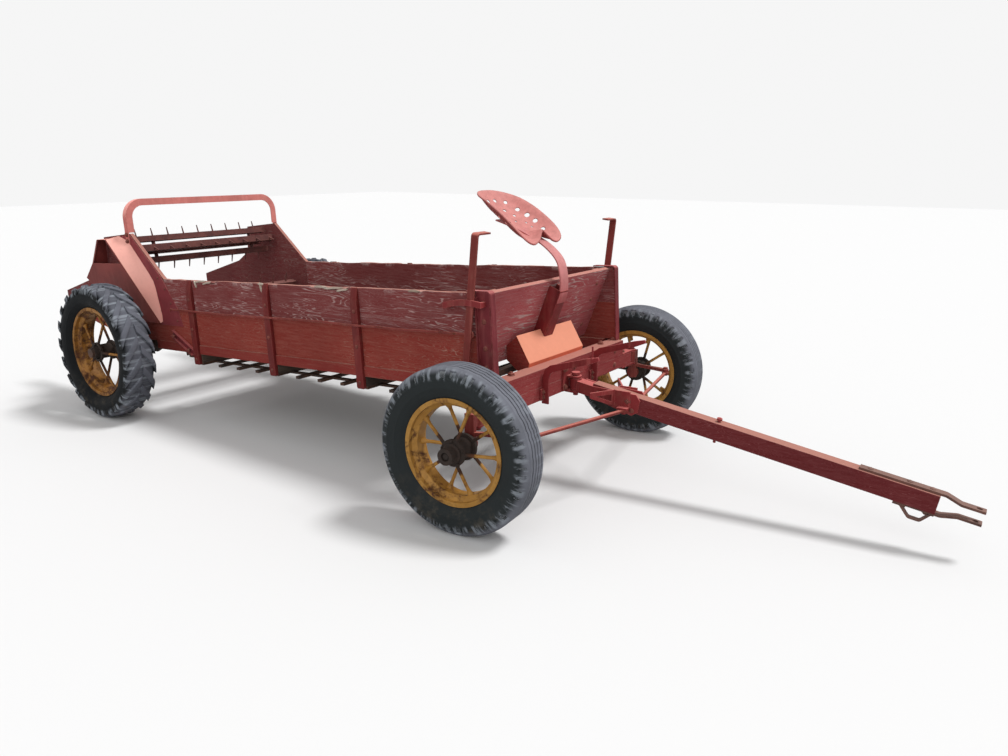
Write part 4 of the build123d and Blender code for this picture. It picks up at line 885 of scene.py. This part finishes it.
def makeTreadBar(settings):
    # One bar from the middle of the tread to the shoulder; each step goes aside and down and grows a little
    bpy.ops.mesh.primitive_plane_add(size=1, location=(0, 0, 0))
    bar = bpy.context.object
    bar.name = "treadBar"
    bar.scale = (settings["barWide"], settings["barDeep"], 1)
    bar.rotation_euler = (math.pi / 2, 0, 0)
    settle(bar)
    bar.location = (0, *settings["barStart"])
    settle(bar)
    startEdit(bar, "FACE")
    pickAll()
    turned, turn = 0.0, math.radians(settings["sweep"] / len(settings["barSteps"]))
    for aside, down, grow in settings["barSteps"]:
        extrude(-down * math.sin(turned), -aside, -down * math.cos(turned))
        bpy.ops.transform.rotate(value=-turn, orient_axis="Y", center_override=(0, 0, 0))
        bpy.ops.transform.resize(value=(1 + grow, 1, 1 + grow * 0.2), center_override=(0, -0.05, 0.41))
        turned += turn
    endEdit()
    cleanMesh(bar)
    roundEdges(bar, settings["round"])
    return bar


def makeRearTyre(settings):
    side = settings["side"]
    profile = side + [(radius, -across) for radius, across in reversed(side[:-1])] + [side[0]]
    casing = drawOut("rearTyre", profile, settings["steps"])
    bar = makeTreadBar(settings)
    bars = []
    for i in range(settings["bars"]):
        turn = 2 * math.pi * i / settings["bars"]
        bars.append(copyOf(bar, Matrix.Rotation(turn, 4, "Y")))
        bars.append(copyOf(bar, acrossBox @ Matrix.Rotation(turn + math.pi / settings["bars"], 4, "Y")))
    dropPiece(bar)
    return joinPieces([casing] + bars, "rearTyre")


tyreKinds = {"front": makeFrontTyre(frontTyre), "rear": makeRearTyre(rearTyre)}
tyreSmooth = {"front": 30, "rear": 40}
for corner, stand in wheelPlace.items():
    end, side = corner.split("_")
    tyre = copyOf(tyreKinds[end], stand)
    tyre.name = f"{end}Tyre_{side}"
    cuts = [face.index for face in tyre.data.polygons if face.material_index == 1]
    finishPiece(tyre, rubber[corner], f"{end}_wheel_{side}", "tyre", f"{end}_tyre_{side}",
                angle=tyreSmooth[end])
    if cuts:
        tyre.data.materials.append(cutRubber)
    for index in cuts:
        tyre.data.polygons[index].material_index = 1
for tyre in tyreKinds.values():
    dropPiece(tyre)
print("tyres done")

# Upper side planks: the top edge is wavy from rot, chipped where the paint has peeled
upperBoard = {"x": (0.3, 2.928), "z": (0.668, 0.866), "outer": 0.595, "inner": 0.57, "cuts": 175,
              "wave": 0.012, "levels": (0.69, 0.72, 0.75, 0.78, 0.805, 0.825, 0.84, 0.852, 0.86),
              "depths": (-0.588, -0.577), "waved": (0.33, 2.9, 0.835), "waveSize": 0.16, "bead": 0.0018,
              "chips": [(0.7, 0.055, 0.01, 0.01), (0.8, 0.07, 0.012, 0.012), (1.3, 0.03, 0.012, 0.008),
                        (1.78, 0.06, 0.008, 0.01), (1.93, 0.07, 0.013, 0.012), (2.48, 0.04, 0.006, 0.006)],
              "corner": 0.016}


def makeUpperBoard(settings):
    board = addBox("upperBoard", settings["x"], (-settings["outer"], -settings["inner"]), settings["z"])
    startEdit(board, "EDGE")
    cutAlong(board, settings["cuts"])
    for height in settings["levels"]:
        pickAll()
        bpy.ops.mesh.bisect(plane_co=(0, 0, height), plane_no=(0, 0, 1))
    for across in settings["depths"]:
        pickAll()
        bpy.ops.mesh.bisect(plane_co=(0, across, 0), plane_no=(0, 1, 0))
    bpy.ops.mesh.select_mode(type="VERT")
    near = 0.0005
    top, end, middle = settings["z"][1] - near, settings["x"][1] - near, sum(settings["depths"]) / 2
    below, corner = settings["levels"][-1] - near, settings["levels"][-2] - near
    for x, wide, deep, peel in settings["chips"]:
        pickVerts(board, lambda place: abs(place.x - x) < wide and place.z > top and place.y < middle)
        shift(0, 0, -deep)
        pickVerts(board, lambda place: (abs(place.x - x) < wide * 0.6 and place.z > below - deep
                                        and place.y < near - settings["outer"]))
        shift(0, peel * 0.5, -deep * 0.3)
    pickVerts(board, lambda place: place.x > end and place.z > corner)
    shift(-settings["corner"] * 0.8, 0, 0)
    rear, front, low = settings["waved"]
    pickVerts(board, lambda place: place.z > low and rear < place.x < front)
    bpy.ops.object.vertex_group_add()
    bpy.ops.object.vertex_group_assign()
    endEdit()
    swell = bpy.data.textures.new("boardWave", "CLOUDS")
    swell.noise_scale = settings["waveSize"]
    swell.noise_depth = 3
    addModifier(board, "DISPLACE", texture=swell, direction="Z", strength=settings["wave"], mid_level=0.62,
                vertex_group=board.vertex_groups[0].name, texture_coords="LOCAL")
    roundEdges(board, settings["bead"], 1, 50)
    return board


board = makeUpperBoard(upperBoard)
for side, flip in (("right", unmoved), ("left", acrossBox)):
    plank = copyOf(board, boxPlace @ flip)
    plank.name = f"upperBoard_{side}"
    finishPiece(plank, plankUpper, "chassis", "red_planks", f"side_plank_upper_{side}", angle=30)
dropPiece(board)

# Splinters that stand off the near plank's top edge: place along the box, height, length and tilt
splinterHalf, splinterY = (0.0045, 0.005), -0.5985
splinters = [(0.705, 0.861, 0.115, -4.0), (0.77, 0.853, 0.09, -9.0), (0.65, 0.842, 0.05, 68.0),
             (1.29, 0.842, 0.06, 80.0), (1.3, 0.862, 0.07, 3.0), (1.8, 0.862, 0.11, 2.0),
             (1.9, 0.858, 0.15, -3.0), (1.965, 0.85, 0.09, -7.0), (2.47, 0.862, 0.08, 2.0)]


def makeSplinters(rows):
    parts = []
    for x, z, length, tilt in rows:
        wide, tall = splinterHalf
        sliver = addBox("splinter", (-length / 2, length / 2), (-wide, wide), (-tall, tall))
        startEdit(sliver, "VERT")
        cutAlong(sliver, 4, 0.01)
        pickVerts(sliver, lambda place: place.x > length * 0.45)
        bpy.ops.transform.resize(value=(1, 0.25, 0.2), center_override=(length / 2, 0, 0.002))
        pickVerts(sliver, lambda place: place.x < -length * 0.45)
        bpy.ops.transform.resize(value=(1, 0.5, 0.35), center_override=(-length / 2, 0, -0.002))
        pickVerts(sliver, lambda place: abs(place.x) < length * 0.12)
        shift(0, -0.0015, 0.0015)
        endEdit()
        roundEdges(sliver, 0.001, 1, 30)
        lean = Matrix.Rotation(math.radians(tilt), 4, "Y")
        sliver.data.transform(Matrix.Translation((x, splinterY, z)) @ lean)
        parts.append(sliver)
    slivers = joinPieces(parts, "plankSplinters")
    settle(slivers)
    slivers.data.transform(boxPlace)
    finishPiece(slivers, splinterWood, "chassis", "bare_planks", angle=40)


makeSplinters(splinters)
print("planks done")

# Control rods: thin flat bars along the seam with a forged eye at the lever and a hook at the rear
controlRod = {"x": (0.405, 2.822), "y": -0.622, "z": 0.676, "tall": 0.011, "thick": 0.006, "cuts": 23,
              "sag": 0.004, "sagHalf": 0.11, "hook": [(-0.03, 0, 0.004), (-0.006, 0, -0.018)],
              "eyeAhead": 0.004,
              "sags": [(0.8, -0.5), (0.95, -0.8), (1.15, -0.6), (1.6, 0.5), (1.8, 0.8), (2.1, -0.6),
                       (2.4, -0.9)],
              "eye": [(0.006, -0.004), (0.017, -0.004), (0.0185, -0.0025), (0.0185, 0.0025), (0.017, 0.004),
                      (0.006, 0.004), (0.006, -0.004)]}


def makeControlRods(settings):
    y, z, thick, tall = (settings[name] for name in ("y", "z", "thick", "tall"))
    rod = addBox("controlRod", settings["x"], (y - thick / 2, y + thick / 2), (z - tall / 2, z + tall / 2))
    startEdit(rod, "EDGE")
    cutAlong(rod, settings["cuts"])
    bpy.ops.mesh.select_mode(type="VERT")
    for x, lift in settings["sags"]:
        pickVerts(rod, lambda place: abs(place.x - x) < settings["sagHalf"])
        shift(0, 0, lift * settings["sag"])
    bpy.ops.mesh.select_mode(type="FACE")
    pickFaces(rod, lambda place, normal: normal.x < -0.9)
    for move in settings["hook"]:
        extrude(*move)
    endEdit()
    roundEdges(rod, ironBead)
    eye = drawOut("rodEye", settings["eye"], 24)
    eye.data.transform(Matrix.Translation((settings["x"][1] + settings["eyeAhead"], y, z)))
    rod = joinPieces([rod, eye], "controlRod")
    left = copyOf(rod, acrossBox)
    rod = joinPieces([rod, left], "controlRods")
    rod.data.transform(boxPlace)
    finishPiece(rod, ironThin, "chassis", "red_iron", "control_rods")


makeControlRods(controlRod)

# Bars that carried a footboard: bent on edge in front of the bolster, each on its plate, with worn pointed
# ends; a bolt hangs from the right one
footBar = {"path": [(2.974, 0.444), (2.974, 0.52), (2.976, 0.58), (2.986, 0.61), (3.008, 0.628),
                    (3.05, 0.642), (3.13, 0.667), (3.21, 0.693), (3.27, 0.713)],
           "deep": [0.019, 0.019, 0.019, 0.0185, 0.018, 0.017, 0.016, 0.015, 0.009], "y": 0.24,
           "thick": 0.01, "plate": ((2.9555, 2.965), (-0.026, 0.026), (0.462, 0.52)),
           "bolt": (3.235, 0.718),
           "pin": [(0.0012, 0.01), (0.008, 0.01), (0.008, 0.003), (0.0042, 0.002), (0.0042, -0.052),
                   (0.0012, -0.053)]}


def makeFootBars(settings):
    path = [Vector((x, 0, z)) for x, z in settings["path"]]
    rows = []
    for i, (point, deep) in enumerate(zip(path, settings["deep"])):
        run = (path[min(i + 1, len(path) - 1)] - path[max(i - 1, 0)]).normalized()
        outward = Vector((-run.z, 0, run.x)) * deep
        rows.append([point + outward, point - outward])
    bar = laySheet("footBar", rows, settings["thick"])
    roundEdges(bar, ironBead)
    plate = addBox("footPlate", *settings["plate"])
    roundEdges(plate, ironBead)
    bars = []
    for way in (-1, 1):
        for part in (bar, plate):
            bars.append(copyOf(part, Matrix.Translation((rearAxle.x, way * settings["y"], 0))))
    x, z = settings["bolt"]
    pin = drawOut("barBolt", settings["pin"], 12)
    upright = Matrix.Rotation(math.pi / 2, 4, "X")
    pin.data.transform(Matrix.Translation((rearAxle.x + x, -settings["y"], z)) @ upright)
    dropPiece(bar)
    dropPiece(plate)
    return joinPieces(bars + [pin], "footBars")


bars = makeFootBars(footBar)
cleanMesh(bars)
finishPiece(bars, ironRed, "chassis", "red_iron", "foot_bars")
print("foot bars done")

# Stakes: pressed channels with their backs outwards, tapering into the plank at the top
stakes = {"x": (0.584, 1.335, 2.056), "half": 0.025, "plank": -0.5955, "wall": 0.004, "bead": 0.0022,
          "rows": [(0.868, 0.006, 0.8), (0.852, 0.01, 0.86), (0.81, 0.019, 0.96), (0.78, 0.0215, 1.0),
                   (0.56, 0.0215, 1.0), (0.345, 0.0215, 1.0), (0.334, 0.02, 0.92)]}


def makeStakes(settings):
    half, plank = settings["half"], settings["plank"]
    rows = []
    for height, deep, wide in settings["rows"]:
        corners = ((-half, plank), (-half, plank - deep), (half, plank - deep), (half, plank))
        rows.append([Vector((x * wide, y, height)) for x, y in corners])
    stake = laySheet("stake", rows)
    cleanMesh(stake)
    addModifier(stake, "SOLIDIFY", thickness=settings["wall"], offset=-1.0)
    roundEdges(stake, settings["bead"], 2, 30)
    standing = []
    for x in settings["x"]:
        for flip in (unmoved, acrossBox):
            standing.append(copyOf(stake, boxPlace @ flip @ Matrix.Translation((x, 0, 0))))
    dropPiece(stake)
    return joinPieces(standing, "stakes")


standing = makeStakes(stakes)
finishPiece(standing, stakePaint, "chassis", "red_iron", "stakes")
print("stakes done")

# Fasteners, each kind modelled once: a round-headed coach bolt, a square nut with its washer, a hexagon nut
fastener = {"coachHead": 0.0125,
            "dome": [(0.01, 0.0072), (0.45, 0.0066), (0.8, 0.0045), (1.0, 0.0012), (1.0, -0.001)],
            "nutAcross": 0.022, "squareDeep": (-0.011, -0.002), "squareEnd": (0.005, 0.0055),
            "hexDeep": 0.01, "hexEnd": (0.0035, 0.005),
            "washer": [(0.004, 0.0024), (0.017, 0.0024), (0.017, 0.0), (0.004, 0.0)]}


def makeCoachBolt(settings):
    size = settings["coachHead"]
    return drawOut("coachBolt", [(size * share, out) for share, out in settings["dome"]], 14)


def makeSquareNut(settings):
    half = settings["nutAcross"] / 2
    inset, out = settings["squareEnd"]
    nut = addBox("squareNut", (-half, half), settings["squareDeep"], (-half, half))
    startEdit(nut, "FACE")
    pickFaces(nut, lambda place, normal: normal.y < -0.9)
    bpy.ops.mesh.inset(thickness=inset, depth=0.0)
    extrude(0, -out, 0)
    endEdit()
    roundEdges(nut, ironBead)
    return joinPieces([nut, drawOut("washer", settings["washer"], 18)], "squareNut")


def makeHexNut(settings):
    deep, (inset, out) = settings["hexDeep"], settings["hexEnd"]
    bpy.ops.mesh.primitive_cylinder_add(vertices=6, radius=settings["nutAcross"] / 2 * 1.1, depth=deep,
                                        location=(0, 0, deep / 2))
    nut = bpy.context.object
    settle(nut)
    startEdit(nut, "FACE")
    pickFaces(nut, lambda place, normal: normal.z > 0.9)
    bpy.ops.mesh.inset(thickness=inset, depth=0.0)
    extrude(0, 0, out)
    endEdit()
    roundEdges(nut, ironBead)
    nut.rotation_euler = (math.pi / 2, 0, 0)
    settle(nut)
    return nut


kinds = {"coach": makeCoachBolt(fastener), "square": makeSquareNut(fastener), "hex": makeHexNut(fastener)}


def setFasteners(name, rows, frameMatrix, body, bothSides=True, material=None):
    # Each row: kind, place, the axis it stands out along, turn about that axis and size
    parts = []
    for kind, spot, out, turn, size in rows:
        stand = Vector(out).to_track_quat("-Y", "Z").to_matrix().to_4x4()
        local = (Matrix.Translation(spot) @ stand @ Matrix.Rotation(math.radians(turn), 4, "Y")
                 @ Matrix.Scale(size, 4))
        parts.append(copyOf(kinds[kind], frameMatrix @ local))
        if bothSides:
            parts.append(copyOf(kinds[kind], frameMatrix @ acrossBox @ local))
    piece = joinPieces(parts, name)
    settle(piece)
    finishPiece(piece, material or boltIron, body, "red_iron")
    return piece


aside, forward, up, down = (0, -1, 0), (1, 0, 0), (0, 0, 1), (0, 0, -1)
rows = []
for x in stakes["x"]:
    rows += [("coach", (x, -0.6175, z), aside, 20 * k, 0.8) for k, z in enumerate((0.368, 0.56, 0.745))]
postBolts = (0.425, 0.52, 0.61, 0.735, 0.82)
rows += [("coach", (2.892, -0.6, z), aside, 12 * k, 1.0) for k, z in enumerate(postBolts)]
rows += [("square", (-0.052, -0.6005, z), aside, 24, 0.9) for z in (1.105, 1.148)]
boltRing, ringTurns = 0.04, (0.6, 2.7, 4.7)
for x, z in ((-0.1, 1.038), (0.165, 0.628)):
    rows += [("square", (x + boltRing * math.cos(turn), -0.602, z + boltRing * math.sin(turn)), aside,
              math.degrees(turn), 0.6) for turn in ringTurns]
rows += [("hex", (0.36, -0.613, 0.502), aside, 15, 0.9), ("hex", (0.51, -0.613, 0.421), aside, 40, 0.9)]
sheetBolts = ((0.05, 0.85), (0.12, 0.8), (0.236, 0.87), (0.3, 0.8), (0.35, 0.71), (0.4, 0.6))
rows += [("coach", (x, -0.598, z), aside, 0, 0.62) for x, z in sheetBolts]
rows += [("square", (2.784, -0.6335, 0.47), aside, 10, 1.3)]
setFasteners("boxBolts", rows, boxPlace, "chassis")

cleatBolts = [(y, z) for y in (-0.48, -0.15, 0.15, 0.48) for z in (0.085, 0.245, 0.345)
              if abs(y) > 0.2 or z < 0.1]
rows = [("coach", (0.0, y, z), forward, 20, 0.9) for y, z in cleatBolts]
rows += [("square", (0.006, 0.0, 0.155), forward, 8, 0.9), ("square", (0.054, 0.0, 0.25), forward, 30, 0.9),
         ("square", (0.054, 0.0, 0.3), forward, 12, 0.9)]
setFasteners("gateBolts", rows, gatePlace, "chassis", bothSides=False)

axlePlace = Matrix.Translation((rearAxle.x + 2.93, 0, 0))
rows = [("square", (-0.03, -0.43, 0.618), up, 12, 1.1), ("square", (-0.03, -0.57, 0.618), up, 30, 1.0),
        ("square", (0.0, -0.635, 0.538), up, 22, 1.0), ("square", (0.0, -0.43, 0.46), down, 9, 1.1),
        ("coach", (0.025, -0.5, 0.575), forward, 0, 1.1), ("coach", (0.025, -0.5, 0.495), forward, 0, 1.1),
        ("square", (0.033, -0.24, 0.478), forward, 14, 0.9),
        ("square", (0.033, -0.24, 0.504), forward, 40, 0.9),
        ("square", (0.035, -0.045, 0.485), forward, 18, 1.0),
        ("square", (0.035, -0.045, 0.58), forward, 18, 1.0)]
setFasteners("axleBolts", rows, axlePlace, "chassis")

rows = [("square", (0.15, -0.041, 0.0), aside, 15, 1.0), ("square", (0.31, -0.041, 0.012), aside, 38, 1.0),
        ("coach", (0.34, -0.041, -0.03), aside, 0, 1.0)]
setFasteners("tongueBolts", rows, tonguePlace, "tongue")
rows = [("coach", (x, 0, 0.053), up, 0, 1.0) for x in (1.44, 1.6, 1.69)]
rows += [("square", (1.6, 0, -0.053), down, 20, 1.0), ("square", (1.69, 0, -0.053), down, 33, 0.9)]
setFasteners("hitchBolts", rows, tonguePlace, "tongue", bothSides=False, material=wornIron)

# Wheels: nuts round the hub flange and a swelling where each spoke meets the rim
spokes = {"count": 10, "hubReach": 0.05, "hubY": (-0.053, 0.041), "rimY": (-0.014, 0.014),
          "rimReach": {"front": 0.2055, "rear": 0.2445}, "nutReach": 0.0545, "nutY": -0.06, "nutSize": 0.55,
          "foot": [(0.0082, 0.03), (0.0095, 0.018), (0.0125, 0.01), (0.015, 0.004), (0.0165, -0.004),
                   (0.0165, -0.01)]}
foot = drawOut("spokeFoot", spokes["foot"], 14)
foot.data.transform(Matrix.Rotation(-math.pi / 2, 4, "X"))


def onWheel(turn, reach, y):
    return Vector((math.cos(turn) * reach, y, math.sin(turn) * reach))


for corner, stand in wheelPlace.items():
    end, side = corner.split("_")
    parts = []
    for i in range(spokes["count"]):
        turn = 2 * math.pi * i / spokes["count"]
        low = onWheel(turn, spokes["hubReach"], spokes["hubY"][i % 2])
        high = onWheel(turn, spokes["rimReach"][end], spokes["rimY"][i % 2])
        lean = (low - high).to_track_quat("Z", "Y").to_matrix().to_4x4()
        parts.append(copyOf(foot, stand @ Matrix.Translation(high) @ lean))
        if i % 2 == 0:
            spot = onWheel(turn + math.pi / spokes["count"], spokes["nutReach"], spokes["nutY"])
            nutPlace = stand @ Matrix.Translation(spot) @ Matrix.Scale(spokes["nutSize"], 4)
            parts.append(copyOf(kinds["hex"], nutPlace))
    piece = joinPieces(parts, f"{end}WheelFittings_{side}")
    settle(piece)
    finishPiece(piece, rimPaint[corner], f"{end}_wheel_{side}", "wheel_paint")
dropPiece(foot)
for kind in kinds.values():
    dropPiece(kind)
print("fasteners done")

# Plain floor and backdrop
stageSettings = {"floorTone": 0.8, "floorBounce": 0.45, "size": 60.0, "skyLight": 0.55, "skyTone": 0.92}


def seenBy(*kinds):
    rays = addNode("ShaderNodeLightPath")
    seen = rays.outputs[kinds[0]]
    for kind in kinds[1:]:
        seen = larger(seen, rays.outputs[kind])
    return seen


def makeStage(settings):
    bpy.ops.mesh.primitive_plane_add(size=settings["size"], location=(0, 0, 0))
    floor = bpy.context.object
    floor.name = "studioFloor"
    material = startTree(bpy.data.materials.new("studioFloor"))
    bounce, tone = ([settings[name]] * 3 for name in ("floorBounce", "floorTone"))
    colour = mixColour(seenBy("Is Camera Ray", "Is Glossy Ray"), bounce, tone)
    shader = addNode("ShaderNodeBsdfDiffuse", {"Color": colour})
    addNode("ShaderNodeOutputMaterial", {0: shader.outputs[0]})
    floor.data.materials.append(material)


def makeWorld(settings):
    bpy.context.scene.world = startTree(bpy.data.worlds.new("studio"))
    seen = seenBy("Is Camera Ray", "Is Glossy Ray", "Is Transmission Ray")
    strength = addNode("ShaderNodeMapRange",
                       {0: seen, 3: settings["skyLight"], 4: settings["skyTone"]}).outputs[0]
    background = addNode("ShaderNodeBackground", {"Color": (1, 1, 1, 1), "Strength": strength})
    addNode("ShaderNodeOutputWorld", {0: background.outputs[0]})


def makeSun(name, towards, energy, softness):
    lamp = bpy.data.lights.new(name, "SUN")
    lamp.energy = energy
    lamp.angle = math.radians(softness)
    holder = bpy.data.objects.new(name, lamp)
    bpy.context.scene.collection.objects.link(holder)
    holder.rotation_euler = Vector(towards).to_track_quat("Z", "Y").to_euler()


makeStage(stageSettings)
makeWorld(stageSettings)
makeSun("keyLamp", (0.45, 0.35, 1.0), 2.1, 14)
makeSun("fillLamp", (0.5, -1.0, 0.55), 0.7, 60)

# The photograph's camera
cameraSettings = {"fromAxle": 5.0891, "y": -3.4723, "z": 1.6064, "turn": 36.2571, "down": 14.9544,
                  "lens": 28.873}
camera = bpy.data.cameras.new("camera")
camera.lens = cameraSettings["lens"]
camera.sensor_width = 36.0
holder = bpy.data.objects.new("camera", camera)
bpy.context.scene.collection.objects.link(holder)
holder.location = (rearAxle.x + cameraSettings["fromAxle"], cameraSettings["y"], cameraSettings["z"])
holder.rotation_euler = (math.radians(90 - cameraSettings["down"]), 0, math.radians(cameraSettings["turn"]))
bpy.context.scene.camera = holder
bpy.context.scene.view_settings.view_transform = "Standard"
